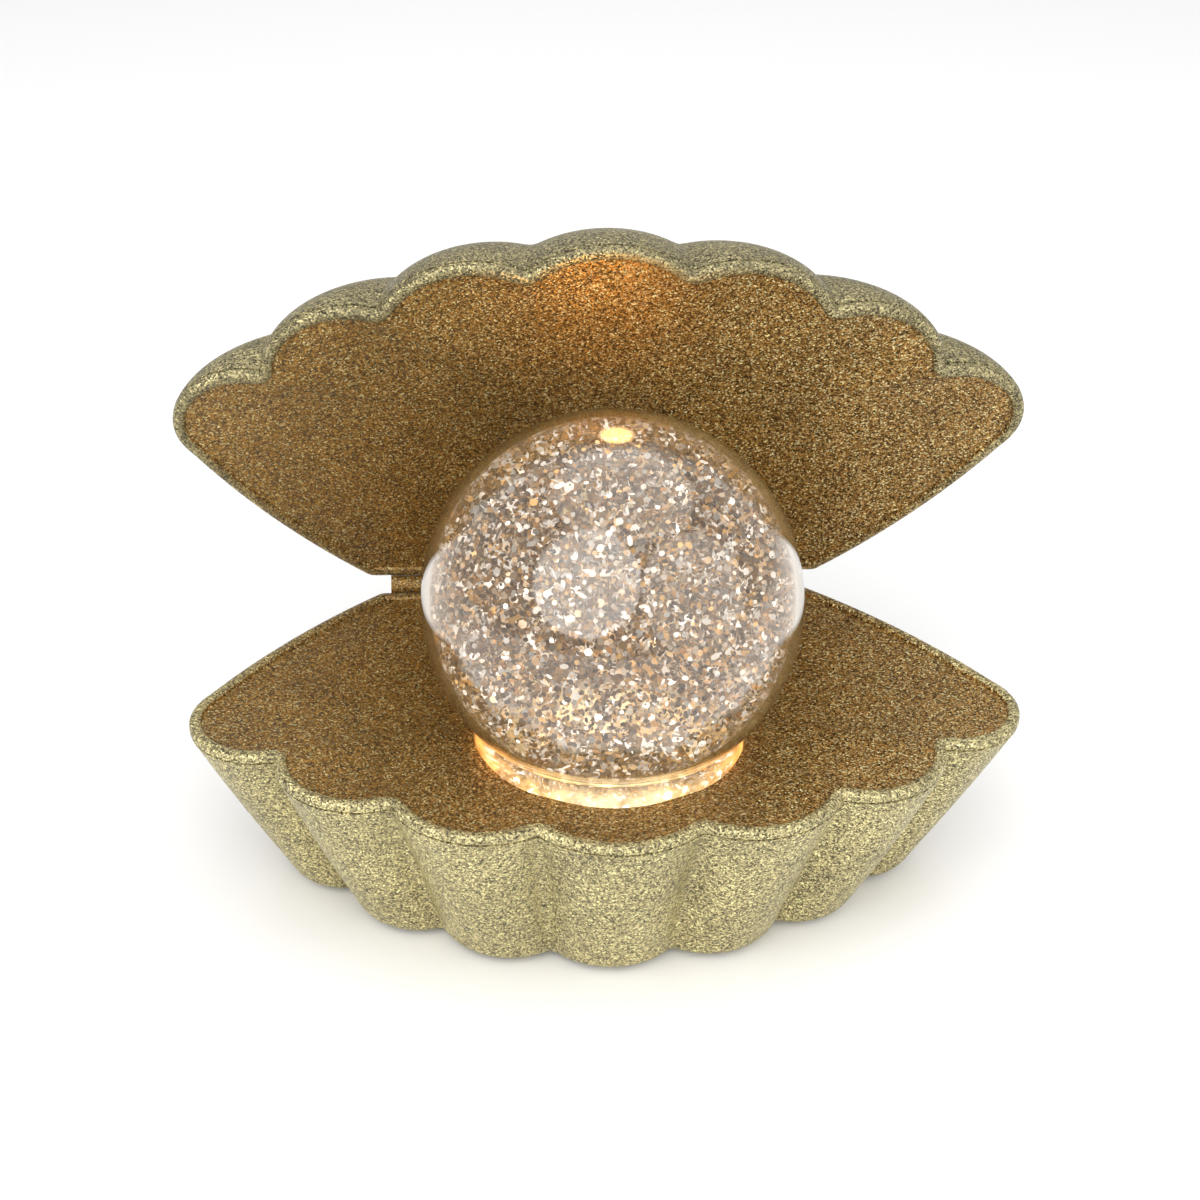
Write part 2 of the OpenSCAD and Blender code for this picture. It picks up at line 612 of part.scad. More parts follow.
led_at = mix(rotor_room, ledge_r - 1.6, 0.56);
module leds() {
  color("khaki") at_globe(ledge_z) around(led_at, [for (i = [0:led_count - 1]) i * 360 / led_count])
    union() {
      block([3.5, 3.5, 1]);
      translate([0, 0, 0.8]) cylinder(r1 = 1.5, r2 = 1.1, h = 1);
    }
}
module diffuser() {
  color("ivory") at_globe(ledge_z) difference() {
    cylinder(r = ledge_r - 0.1, h = 3.4);
    translate([0, 0, -1]) cylinder(r = ledge_r - 1.6, h = 3.2);
    translate([0, 0, -1]) cylinder(r = rotor_room, h = 9);
  }
}

// ---- batteries ---------------------------------------------------------
cell_z = under_z + door_t + 0.5 + cell_d / 2;
bay_top = cell_z + cell_d / 2 + 0.6;
plate_t = 0.4;
spring_l = bay_w - cell_l - 2 * plate_t;
module battery_box() {
  color("dimgray") translate([0, bay_y, floor_z]) difference() {
    block([bay_w + 2 * box_wall, bay_d + 2 * box_wall, bay_top + box_wall - floor_z]);
    translate([0, 0, -1]) block([bay_w, bay_d, bay_top - floor_z + 1]);
  }
}
// Each cell lies along X, every other one turned round.
module at_cells() {
  for (i = [0:cell_count - 1])
    translate([0, bay_y + (i - (cell_count - 1) / 2) * cell_pitch, cell_z]) rotate(i % 2 * 180) children();
}
module batteries() {
  color("gold") at_cells() translate([-bay_w / 2 + plate_t + spring_l, 0, 0]) along_x() {
    cylinder(r = cell_d / 2, h = cell_l - 1);
    cylinder(r = 2.7, h = cell_l);
  }
}
spring_turns = 3;
spring_wire = 0.35;
function spring_ring(t, n = 6) = let (a = 360 * spring_turns * t, r = 5 - 2.4 * t,
    x = spring_wire + (spring_l - 2 * spring_wire - 0.1) * t)
  [for (i = [0:n - 1]) let (b = 360 * i / n, q = r + spring_wire * cos(b))
    [x + spring_wire * sin(b), q * cos(a), q * sin(a)]];
module contact_springs() {
  color("silver") at_cells() translate([-bay_w / 2 + plate_t, 0, 0])
    loft([for (i = [0:spring_turns * 12]) spring_ring(i / (spring_turns * 12))]);
}
module contact_plates() {
  color("silver") for (side = [-1, 1]) at_cells()
    translate([side * (bay_w / 2 - plate_t / 2), 0, -5.5]) block([plate_t, 11, 11]);
}
door_screw_head = 2.3;
module battery_door() {
  color([0.72, 0.70, 0.50]) difference() {
    union() {
      translate([-door_half, door_front_y, under_z])
        cube([2 * door_half, door_axis.x - door_front_y, door_t]);
      translate([-tongue_w / 2, tongue_y - 3.4, under_z]) cube([tongue_w, 9, door_t]);
      translate([-door_half - 1.6, door_axis.x, door_axis.y]) along_x()
        cylinder(r = door_pin_r, h = 2 * door_half + 3.2);
    }
    translate([0, tongue_y, under_z - 1]) cylinder(r = door_screw_r + 0.02, h = 5);
    translate([0, tongue_y, under_z - 1]) cylinder(r = door_screw_head + 0.1, h = 1.9);
    for (i = [0:5]) translate([0, bay_y + 8 - i * 2.2, under_z - 1]) block([16, 0.9, 1.5]);
  }
}
module door_screw() {
  color("silver") translate([0, tongue_y, under_z + 0.9]) screw(door_screw_r, 6, door_screw_head, 0.8);
}

// ---- switch, board and wires ------------------------------------------
switch_wall = 1;
slider = [6, 4.4, 1.4];
module switch_body() {
  color("black") translate([switch_at.x, switch_at.y, floor_z]) difference() {
    block([slider.x + switch_travel + 0.4 + 2 * switch_wall, slider.y + 0.4 + 2 * switch_wall, 6]);
    translate([0, 0, switch_wall]) block([slider.x + switch_travel + 0.4, slider.y + 0.4, slider.z + 0.3]);
    translate([0, 0, -1]) block([knob_w + switch_travel + 0.4, knob_w - 0.8, 3]);
  }
}
module switch_knob() {
  color("black") translate([switch_at.x - switch_travel / 2, switch_at.y, 0]) {
    translate([0, 0, floor_z + switch_wall + 0.15]) block(slider);
    translate([0, 0, under_z - 0.4]) block([knob_w, knob_w - 1.2, floor_t + switch_wall + 0.8]);
  }
}
module control_board() {
  color("green") difference() {
    translate([board_at.x, board_at.y, floor_z + board_lift]) block(board_size);
    at_board_posts() cylinder(r = 1, h = 20);
  }
}
module board_parts() {
  color("black") translate([board_at.x, board_at.y, floor_z + board_lift + board_size.z]) {
    translate([0, 4, 0]) block([5, 6, 1.6]);
    translate([-5, -8, 0]) cylinder(r = 3.1, h = 8);
    translate([5, -9, 0]) cylinder(r = 2, h = 5);
    translate([4, 10, 0]) block([6, 4, 5]);
    for (i = [0:2]) translate([-6, 2 + i * 4, 0]) block([3.2, 1.6, 0.9]);
  }
}
wire_r = 0.65;
wire_z = floor_z + board_lift + board_size.z;
// A wire through a list of points, as one tube with a mitred ring at each of them.
function unit(v) = v / norm(v);
function wire_ring(points, i, n = 8) =
  let (last = len(points) - 1,
    before = i > 0 ? unit(points[i] - points[i - 1]) : [0, 0, 0],
    after = i < last ? unit(points[i + 1] - points[i]) : [0, 0, 0],
    along = unit(before + after), across = unit(cross(along, [1, 0.3, 0.12])), up = cross(along, across))
  [for (k = [0:n - 1]) let (a = 360 * k / n) points[i] + wire_r * (cos(a) * across + sin(a) * up)];
module wire(points) { loft([for (i = [0:len(points) - 1]) wire_ring(points, i)]); }
loom_at = [-0.945, 0.327] * (board_r - 8.6);   // where the lamps' lead meets their board
module wire_loom() {
  color("red") {
    wire([[board_at.x + 9, board_at.y + 12, wire_z], [board_at.x + 9, board_at.y + 12, 26],
      [-22, globe_y + 20, 26], [-bay_w / 2 + 6, bay_y - 10, bay_top + box_wall + 2],
      [-bay_w / 2 + 6, bay_y - 10, bay_top + box_wall]]);
    wire([[board_at.x + 9, board_at.y, wire_z], [board_at.x + 9, board_at.y, 11.4],
      [-6, globe_y, 11.4], [-6, globe_y, motor_top - motor_l - 1.5]]);
    wire([[board_at.x + 9, board_at.y - 12, wire_z], [board_at.x + 9, board_at.y - 12, 13],
      [0, globe_y - 22, 13], [30, globe_y - 8, 13], [switch_at.x, switch_at.y, 13],
      [switch_at.x, switch_at.y, floor_z + 6]]);
    wire([[board_at.x - 9, board_at.y + 12, wire_z], [board_at.x - 9, board_at.y + 12, 24],
      [loom_at.x, globe_y + loom_at.y, 29], [loom_at.x, globe_y + loom_at.y, ledge_z - 1.6]]);
  }
}

// ---- screws and feet ---------------------------------------------------
module case_screws() {
  color("silver") at_posts() translate([0, 0, post_top - 3]) screw(case_screw_r, 13, case_head_r, 1.8);
}
foot_rear = [52, 32];
foot_front = [34, 90];
module rubber_feet() {
  color("black") for (p = [foot_rear, foot_front]) both_sides(p.x * stretch.x)
    translate([0, hinge_y - p.y * stretch.y, 0]) union() {
      cylinder(r1 = foot_r - 0.4, r2 = foot_r, h = 0.4);
      translate([0, 0, 0.4]) cylinder(r = foot_r, h = foot_h - 0.4);
    }
}

lower_shell();
deck();
lid_shell();
lid_liner();
base_hinge_bracket();
lid_hinge_bracket();
hinge_pin();
friction_washers();
base_hinge_screws();
lid_hinge_screws();
globe();
globe_liquid();
globe_plug();
globe_seal();
globe_collar();
collar_screws();
impeller();
impeller_magnet();
impeller_spindle();
diffuser();
led_board();
leds();
motor();
motor_bracket();
bracket_screws();
drive_rotor();
drive_magnets();
battery_box();
batteries();
contact_springs();
contact_plates();
battery_door();
door_screw();
switch_body();
switch_knob();
control_board();
board_parts();
wire_loom();
case_screws();
rubber_feet();
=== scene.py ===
"""Looks of an open clam-shell lamp with a glitter globe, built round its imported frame.

Lengths in the code are millimetres until a mesh is made; MM turns them into metres.
"""

import json
import math

import bpy
import numpy as np
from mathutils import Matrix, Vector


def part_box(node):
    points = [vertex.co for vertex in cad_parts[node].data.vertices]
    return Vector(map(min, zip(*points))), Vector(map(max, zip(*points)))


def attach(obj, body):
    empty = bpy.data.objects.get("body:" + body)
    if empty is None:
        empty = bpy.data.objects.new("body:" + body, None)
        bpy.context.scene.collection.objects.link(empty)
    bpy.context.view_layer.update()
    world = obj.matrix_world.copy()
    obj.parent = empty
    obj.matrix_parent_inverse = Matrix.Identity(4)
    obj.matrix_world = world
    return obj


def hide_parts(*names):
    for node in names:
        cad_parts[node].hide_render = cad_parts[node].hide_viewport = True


bl_info = {
    "name": "Clam-shell glitter globe lamp",
    "version": (1, 0, 0),
    "blender": (4, 5, 0),
    "location": "3D View > Sidebar > Lamp",
    "description": "Builds the shells, globe, flakes, finishes and studio of a clam-shell lamp",
    "category": "Add Mesh",
}

MM = 0.001
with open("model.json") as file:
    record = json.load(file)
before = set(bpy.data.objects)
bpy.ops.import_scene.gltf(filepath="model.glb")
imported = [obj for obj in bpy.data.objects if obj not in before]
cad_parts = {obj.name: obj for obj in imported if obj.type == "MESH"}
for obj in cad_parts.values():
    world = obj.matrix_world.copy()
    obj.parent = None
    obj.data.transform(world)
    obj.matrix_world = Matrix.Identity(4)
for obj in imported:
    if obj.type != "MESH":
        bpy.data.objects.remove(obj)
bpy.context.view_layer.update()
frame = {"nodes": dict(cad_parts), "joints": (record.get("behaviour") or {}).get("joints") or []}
JOINT_AT = {j["name"]: np.array(j["pos_m"]) / MM for j in frame["joints"] if "pos_m" in j}


def cad_box(node):
    """Lowest and highest corner of a CAD node, in millimetres."""
    low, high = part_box(node)
    return np.array(low) / MM, np.array(high) / MM


HINGE = JOINT_AT["lid_hinge"]
GLOBE_LOW, GLOBE_HIGH = cad_box("globe")
GLOBE_R = (GLOBE_HIGH[0] - GLOBE_LOW[0]) / 2
GLOBE_AT = np.array([0, (GLOBE_LOW[1] + GLOBE_HIGH[1]) / 2, GLOBE_HIGH[2] - GLOBE_R])


# ---- settings ------------------------------------------------------------
def length(name, default, description):
    return bpy.props.FloatProperty(name=name, default=default, description=description,
                                   unit="LENGTH", precision=5, min=0)


def share(name, default, description):
    return bpy.props.FloatProperty(name=name, default=default, description=description, min=0)


def number(name, default, description):
    return bpy.props.IntProperty(name=name, default=default, description=description, min=0)


def colour(name, default, description):
    return bpy.props.FloatVectorProperty(name=name, default=default, description=description,
                                         subtype="COLOR", size=3, min=0, max=1)


class LampSizes(bpy.types.PropertyGroup):
    """Sizes of the shells and the flakes."""
    width: length("Shell width", 0.225, "Full width of the lower half across its two tips")
    depth: length("Shell depth", 0.128, "From the hinge line to the front lobe")
    hinge_share: share("Hinge share", 0.55, "Share of the width taken by the straight hinge edge")
    lobe_rise: length("Lobe rise", 0.009, "Bulge of a lobe past the line through its two notches")
    side_rise: length("Side rise", 0.0025, "Bow of each side edge")
    tip_radius: length("Tip radius", 0.0185, "Radius of the two rounded side tips")
    notch_circle: length("Notch circle", 0.1336, "Radius of the circle that the notches lie on")
    notch_back: length("Notch circle back", 0.0126, "How far that circle's centre is behind the hinge")
    edge_back: length("Edge back", 0.0024, "Back edge in front of the hinge axis")
    wall: length("Wall", 0.0024, "Thickness of the moulded shells")
    casing_height: length("Casing height", 0.0525, "From the underside to the seam")
    foot_wide: share("Foot width share", 0.77, "How much the foot is narrower than the rim")
    foot_deep: share("Foot depth share", 0.85, "How much the foot is shorter than the rim")
    rib_swell: length("Rib swell", 0.0026, "How far the ribs swell between rim and foot")
    foot_round: length("Foot rounding", 0.003, "Radius round the underside")
    lid_back_share: share("Lid share at the hinge", 1.05, "Width of the lid there next to the lower half's")
    lid_front_share: share("Lid share in front", 1.02, "Width of the lid there next to the lower half's")
    lid_deep_share: share("Lid depth share", 1.01, "Depth of the lid's outline next to the lower half's")
    dome: length("Dome depth", 0.044, "Depth of the domed lid behind its seam")
    lip_height: length("Lip height", 0.0026, "Height of the rounded lip above the seam")
    lip_width: length("Lip width", 0.0034, "Width of the rounded lip")
    dish: length("Dish", 0.0022, "Depth of the dished inner faces")
    ridge: length("Ridge", 0.0009, "Height of the ridges that run in from the notches")
    skin: length("Tray thickness", 0.0022, "Thickness of the deck and the liner")
    gap: length("Hinge gap", 0.0008, "Half of the gap between the two lips at the hinge")
    bubble: length("Bubble radius", 0.007, "Radius of the air bubble under the top of the globe")
    globe_wall: length("Globe wall", 0.0022, "Wall thickness of the globe")
    grain: length("Glitter grain", 0.0004, "Size of one grain of the glitter coat")
    flake: length("Flake radius", 0.00062, "Middle radius of a flake in the globe")
    lid_open: share("Lid angle", 71.0, "Opening at rest, in degrees")
    silver_count: number("Silver flakes", 8600, "Number of silver flakes")
    gold_count: number("Gold flakes", 7600, "Number of gold flakes")
    pearl_count: number("Pearl flakes", 2600, "Number of bright flakes")


class LampColours(bpy.types.PropertyGroup):
    """Colours of the coats, the flakes and the light."""
    pale: colour("Pale gold", (0.44, 0.375, 0.185), "Middle tone of the outer glitter coat")
    bronze: colour("Bronze gold", (0.315, 0.17, 0.038), "Middle tone of the inner glitter coat")
    amber: colour("Amber light", (1.0, 0.50, 0.14), "Colour of the lamp's own light")
    silver: colour("Silver flake", (0.78, 0.67, 0.55), "Brightest silver flakes")
    gold: colour("Gold flake", (1.0, 0.62, 0.25), "Brightest gold flakes")
    floor: colour("Floor", (0.86, 0.86, 0.86), "Floor of the studio")


def sizes():
    return bpy.context.scene.lamp_sizes


def colours():
    return bpy.context.scene.lamp_colours


def mm(name):
    """A named size in millimetres."""
    return getattr(sizes(), name) / MM


# ---- meshes --------------------------------------------------------------
CREASE = 40  # edges sharper than this many degrees stay sharp


def grid(points, around=True, loop=False, caps=False):
    """Faces over a grid of points, rows by columns: each face joins two neighbours in a row with the two
    below them. around closes each row, loop joins the last row to the first, caps closes both end rows."""
    rows, cols = points.shape[:2]
    index = np.arange(rows * cols).reshape(rows, cols)
    if loop:
        index = np.concatenate([index, index[:1]])
    if around:
        index = np.concatenate([index, index[:, :1]], 1)
    quads = np.stack([index[:-1, :-1], index[1:, :-1], index[1:, 1:], index[:-1, 1:]], -1).reshape(-1, 4)
    faces = [quads]
    if caps:
        faces += [np.arange(cols)[None], (rows * cols - 1 - np.arange(cols))[None]]
    return points.reshape(-1, 3), faces


def turned(profile, at=(0, 0, 0), steps=96):
    """A profile of (radius, height) turned once round a vertical axis at a point. Ends on the axis become
    poles; a profile that keeps off the axis is joined end to end."""
    profile = np.array(profile, float)
    a = np.arange(steps) * 2 * math.pi / steps
    poles = [end for end in (0, -1) if profile[end, 0] < 1e-9]
    body = profile[1 if 0 in poles else 0:-1 if -1 in poles else None]
    points = np.stack([body[:, :1] * np.cos(a), body[:, :1] * np.sin(a),
                       np.repeat(body[:, 1:], steps, 1)], -1)
    verts, faces = grid(points, loop=not poles)
    for end in poles:
        ring = np.arange(steps) + (0 if end == 0 else len(verts) - steps)
        tip = np.full(steps, len(verts) + poles.index(end))
        fan = np.stack([tip, ring, np.roll(ring, -1)] if end == 0 else [tip, np.roll(ring, -1), ring], -1)
        faces.append(fan)
    if poles:
        verts = np.concatenate([verts] + [[[0, 0, profile[end, 1]]] for end in poles])
    return verts + np.array(at, float), faces


def blocks(boxes):
    """Closed blocks from (lowest corner, highest corner) pairs."""
    low, high = np.array(boxes, float).transpose(1, 0, 2)
    unit = np.array([[x, y, z] for z in (0, 1) for y in (0, 1) for x in (0, 1)], float)
    verts = (low[:, None] + unit * (high - low)[:, None]).reshape(-1, 3)
    side = np.array([[0, 2, 3, 1], [4, 5, 7, 6], [0, 1, 5, 4], [2, 6, 7, 3], [0, 4, 6, 2], [1, 3, 7, 5]])
    return verts, [(side + 8 * np.arange(len(boxes))[:, None, None]).reshape(-1, 4)]


def joined(parts):
    """Several (points, faces) pairs as one."""
    verts, faces, start = [], [], 0
    for points, sides in parts:
        verts.append(points)
        faces += [side + start for side in sides]
        start += len(points)
    return np.concatenate(verts), faces


def inside_out(verts, faces):
    """True when the faces point inwards: the volume under them, summed corner by corner, is negative."""
    total = 0.0
    for group in faces:
        a = verts[group[:, 0]]
        for k in range(1, group.shape[1] - 1):
            total += np.einsum("ij,ij->", a, np.cross(verts[group[:, k]], verts[group[:, k + 1]]))
    return total < 0


def mesh_object(name, shape, crease=CREASE):
    """An object from (points in millimetres, faces), its faces outwards, smooth up to the crease angle."""
    verts, faces = shape
    if inside_out(verts, faces):
        faces = [group[:, ::-1] for group in faces]
    mesh = bpy.data.meshes.new(name)
    mesh.vertices.add(len(verts))
    mesh.vertices.foreach_set("co", (verts * MM).astype(np.float32).ravel())
    corners = np.concatenate([group.ravel() for group in faces]).astype(np.int32)
    counts = np.concatenate([np.full(len(group), group.shape[1]) for group in faces])
    mesh.loops.add(len(corners))
    mesh.loops.foreach_set("vertex_index", corners)
    mesh.polygons.add(len(counts))
    mesh.polygons.foreach_set("loop_start", (np.cumsum(counts) - counts).astype(np.int32))
    mesh.update(calc_edges=True)
    mesh.validate()
    thing = bpy.data.objects.new(name, mesh)
    bpy.context.scene.collection.objects.link(thing)
    finish_edges(mesh, crease)
    return thing


def finish_edges(mesh, crease):
    mesh.polygons.foreach_set("use_smooth", np.ones(len(mesh.polygons), bool))
    mesh.set_sharp_from_angle(angle=math.radians(crease))


def carve(piece, cuts):
    """Takes each cut, a (points, faces) pair, out of the piece, and keeps the result as its mesh."""
    cutters = [mesh_object("cutter", cut) for cut in cuts]
    for cutter in cutters:
        step = piece.modifiers.new("carve", "BOOLEAN")
        step.operation, step.solver, step.object = "DIFFERENCE", "EXACT", cutter
    bpy.context.view_layer.update()
    shown = piece.evaluated_get(bpy.context.evaluated_depsgraph_get())
    mesh = bpy.data.meshes.new_from_object(shown)
    piece.modifiers.clear()
    piece.data = mesh
    mesh.name = piece.name
    for cutter in cutters:
        bpy.data.objects.remove(cutter)
    finish_edges(mesh, CREASE)


def settle(piece, body, slot, *nodes, look=None):
    """Gives a piece its finish, named like its slot unless a look is given, then its body, its slot and
    the CAD nodes that it stands for."""
    piece.data.materials.clear()
    piece.data.materials.append(finish(look or slot))
    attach(piece, body)
    if nodes:
        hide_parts(*nodes)
    return piece


# ---- shell outline -------------------------------------------------------
def lobe(start, end, rise, n):
    """Arc of n points from start towards end: the circle through both that rises so far past the chord."""
    start, end = np.array(start, float), np.array(end, float)
    chord = end - start
    half = np.hypot(*chord) / 2
    radius = (half ** 2 + rise ** 2) / (2 * rise)
    out = np.array([chord[1], -chord[0]]) / (2 * half)
    centre = (start + end) / 2 - out * (radius - rise)
    span = math.asin(half / radius)
    a = math.atan2(out[1], out[0]) + np.linspace(-span, span, n, endpoint=False)
    return centre + radius * np.stack([np.cos(a), np.sin(a)], 1)


NOTCH_TURNS = (9.4, 26.9, 43.4)  # degrees from straight ahead, seen from their circle's centre
ROUND_WIDTH, ROUND_DEPTH = 232, 128  # shell size at which that circle is not stretched


def notch_points():
    """The three notches on the right, from the front round: points of one circle, stretched with the
    shell."""
    a = np.radians(NOTCH_TURNS)
    across, ahead = mm("notch_circle") * np.sin(a), mm("notch_circle") * np.cos(a) - mm("notch_back")
    return np.stack([across * mm("width") / ROUND_WIDTH, ahead * mm("depth") / ROUND_DEPTH], 1)


def raw_outline():
    """The outline as (across, ahead of the hinge) with how far each point is up its own lobe.
    It runs from the hinge corner along the side, round the tip and over the lobes, then mirrored."""
    half, tip_r = mm("width") / 2, mm("tip_radius")
    front, middle, last = notch_points()
    corner = np.array([half * sizes().hinge_share, mm("edge_back")])
    tip = np.array([half - tip_r, last[1] - math.sqrt(max(1, tip_r ** 2 - (last[0] - half + tip_r) ** 2))])
    reach = tip - corner
    turn = math.atan2(reach[1], reach[0]) - math.asin(tip_r / np.hypot(*reach)) - math.pi / 2
    end = math.atan2(last[1] - tip[1], last[0] - tip[0])
    n = 60
    t = np.arange(n) / n
    a = turn + (end - turn) * t
    side = lobe(corner, tip + tip_r * np.array([math.cos(turn), math.sin(turn)]), mm("side_rise"), n)
    rim = tip + tip_r * np.stack([np.cos(a), np.sin(a)], 1)
    up = np.sin(np.pi * t)
    right = np.concatenate([side, rim, lobe(last, middle, mm("lobe_rise") + 1, n),
                            lobe(middle, front, mm("lobe_rise"), n)])
    right_up = np.concatenate([0.5 + 0.5 * t, np.cos(np.pi / 2 * t), up, up])
    flip = np.array([-1, 1])
    points = np.concatenate([right, lobe(front, front * flip, mm("lobe_rise"), n), [front * flip],
                             right[::-1] * flip])
    return points, np.concatenate([right_up, up, [0], right_up[::-1]])


def soft_outline(soft, n=640):
    """The outline at n even steps, smoothed: each wave along it fades with the square of its number,
    so that a notch is rounded to about the given length in millimetres."""
    points, up = raw_outline()
    loop = np.concatenate([points, points[:1]])
    run = np.concatenate([[0], np.cumsum(np.hypot(*np.diff(loop, axis=0).T))])
    at = np.linspace(0, run[-1], n, endpoint=False)
    ups = np.concatenate([up, up[:1]])
    values = np.stack([np.interp(at, run, loop[:, 0]), np.interp(at, run, loop[:, 1]),
                       np.interp(at, run, ups)], 1)
    waves = np.fft.rfft(values, axis=0)
    fade = np.exp(-0.5 * (np.arange(len(waves)) * 2 * math.pi * soft / run[-1]) ** 2)
    return np.fft.irfft(waves * fade[:, None], n, axis=0)


class Edge:
    """An outline with its outward direction at each point."""

    def __init__(self, values):
        self.at, self.up = values[:, :2], values[:, 2]
        along = np.roll(self.at, -1, 0) - np.roll(self.at, 1, 0)
        out = np.stack([along[:, 1], -along[:, 0]], 1)
        self.out = out / np.hypot(*out.T)[:, None]


PLAIN = (1, 1, 1)  # the lower half's own size


def lid_size():
    return sizes().lid_back_share, sizes().lid_front_share, sizes().lid_deep_share


def resized(points, size):
    """Points (across, ahead) at a size: its width share at the hinge, in front, and its depth share."""
    back, front, deep = size
    wide = back + (front - back) * points[:, 1] / mm("depth")
    return points * np.stack([wide, np.full(len(points), deep)], 1)


def rings(edge, z, grow=0, wide=1, deep=1, centre=0, swell=0, size=PLAIN):
    """One ring per height: the outline at a size, moved outwards by grow plus swell times how far a point
    is up its lobe, then narrowed about a point ahead of the hinge. Heights are from the hinge axis."""
    z, grow, wide, deep, swell = np.broadcast_arrays(*[np.atleast_1d(np.asarray(v, float))[:, None]
                                                       for v in (z, grow, wide, deep, swell)])
    offset = grow + swell * (edge.up - 0.5)
    p = resized(edge.at, size) + edge.out * offset[..., None]
    return np.stack([p[..., 0] * wide, -(centre + (p[..., 1] - centre) * deep),
                     np.broadcast_to(z, p.shape[:2])], -1)


def in_base(points):
    return points + HINGE


def in_lid(points):
    """A shape drawn like the lower half, turned over and swung open about the hinge."""
    a = math.radians(sizes().lid_open)
    y, z = points[..., 1], -points[..., 2]
    return np.stack([points[..., 0], y * math.cos(a) + z * math.sin(a),
                     -y * math.sin(a) + z * math.cos(a)], -1) + HINGE


def seam_height():
    return -mm("gap") - mm("lip_height")


# ---- shells --------------------------------------------------------------
GROOVE, GROOVE_DEEP = 0.3, 0.8  # half the height of the shadow line at the seam, and its depth


def casing_walls():
    """Rings of the casing from its inner floor up, over the rim, down the outside and round the foot.
    The outline narrows evenly towards the foot, and the ribs swell as a half wave between the two."""
    height, wall, foot = mm("casing_height"), mm("wall"), mm("foot_round")
    inner = np.linspace(1 - 3 / height, 0.01, 14)
    outer = np.linspace(GROOVE / height, 1 - foot / height, 26)
    bend = np.radians(np.linspace(0, 90, 8))[1:]
    down = 1 - foot / height * (1 - np.sin(bend))
    k = np.concatenate([inner[:1], inner, [0, 0], outer, down])
    grow = np.concatenate([[-wall - 1.5], np.full(len(inner), -wall), [-wall, -GROOVE_DEEP],
                           np.zeros(len(outer)), -foot * (1 - np.cos(bend))])
    wide, deep = 1 - (1 - sizes().foot_wide) * k, 1 - (1 - sizes().foot_deep) * k
    z = seam_height() - k * height
    swell = mm("rib_swell") * np.sin(np.pi * k)
    sharp, soft = soft_outline(0.5), soft_outline(1.3)
    blend = np.clip(k / 0.25, 0, 1)[:, None, None]
    edges = Edge(sharp), Edge(soft)
    return (rings(edges[0], z, grow, wide, deep, 0, swell) * (1 - blend)
            + rings(edges[1], z, grow, wide, deep, 0, swell) * blend)


DOME_START, DOME_END = 5, 88  # turn of the ellipse at the rim and by the pole
DOME_CENTRE = 40  # ahead of the hinge


def dome_walls():
    """Rings of the lid from its inner pole to its rim and back over the outside. Their height and their
    size follow an ellipse that starts a little past upright."""
    start = math.radians(DOME_START)
    depth, wall = mm("dome"), mm("wall")
    inner = np.radians(np.linspace(DOME_END, DOME_START, 24))
    outer = np.radians(DOME_START + 0.5 + (DOME_END - DOME_START - 0.5) * np.linspace(0, 1, 36) ** 1.4)
    a = np.concatenate([inner, [start], outer])
    flat = np.concatenate([np.full(len(inner), depth - wall), np.full(len(outer) + 1, depth)])
    grow = np.concatenate([np.full(len(inner), -wall), [-GROOVE_DEEP], np.zeros(len(outer))])
    z = seam_height() - flat * (np.sin(a) - math.sin(start)) / (1 - math.sin(start))
    narrow = np.cos(a) / math.cos(start)
    swell = -mm("rib_swell") * np.sin(2 * (a - start))
    edges = Edge(soft_outline(0.7)), Edge(soft_outline(2.2))
    blend = np.clip((a - start) / math.radians(16), 0, 1)[:, None, None]
    walls = [rings(edge, z, grow, narrow, narrow, DOME_CENTRE, swell, lid_size()) for edge in edges]
    return walls[0] * (1 - blend) + walls[1] * blend


TRAY_CENTRE = np.array([0, 58.0])


def tray_height(points, rim, up):
    """Height of the inner face at points (across, ahead): a shallow bowl that is deepest at its centre,
    with soft ridges that run in from the notches and fade towards the middle."""
    offset = points - TRAY_CENTRE
    rim_offset = rim - TRAY_CENTRE
    angle = np.arctan2(rim_offset[:, 1], rim_offset[:, 0])
    order = np.argsort(angle)
    turn = np.arctan2(offset[..., 1], offset[..., 0])
    reach = np.interp(turn, angle[order], np.hypot(*rim_offset.T)[order], period=2 * math.pi)
    crest = np.interp(turn, angle[order], up[order], period=2 * math.pi)
    s = np.hypot(offset[..., 0], offset[..., 1]) / reach
    return -mm("gap") - LIP_STEP - mm("dish") * (1 - s ** 2) + mm("ridge") * s ** 2 * (1.4 - s) * (1 - crest)


CASING_LEAN, DOME_LEAN = 1.8, 1.2  # how far each wall has leant in by the foot of the skirt
FIT = 0.2  # clearance between the skirt and the wall
SKIRT_WIDE, SKIRT_DEEP = 1.8, 3  # thickness of the skirt and its depth below the seam
LIP_STEP = 1.1  # drop from the lip to the inner face
HOLE_ROUND = 0.5  # rounding of the round hole's edge
LIP_HIGHLIGHT_FROM = 60  # the lip's paler tone, partly the outer coat's colour and partly a painted highlight, is full from so far ahead of the hinge and fainter behind it
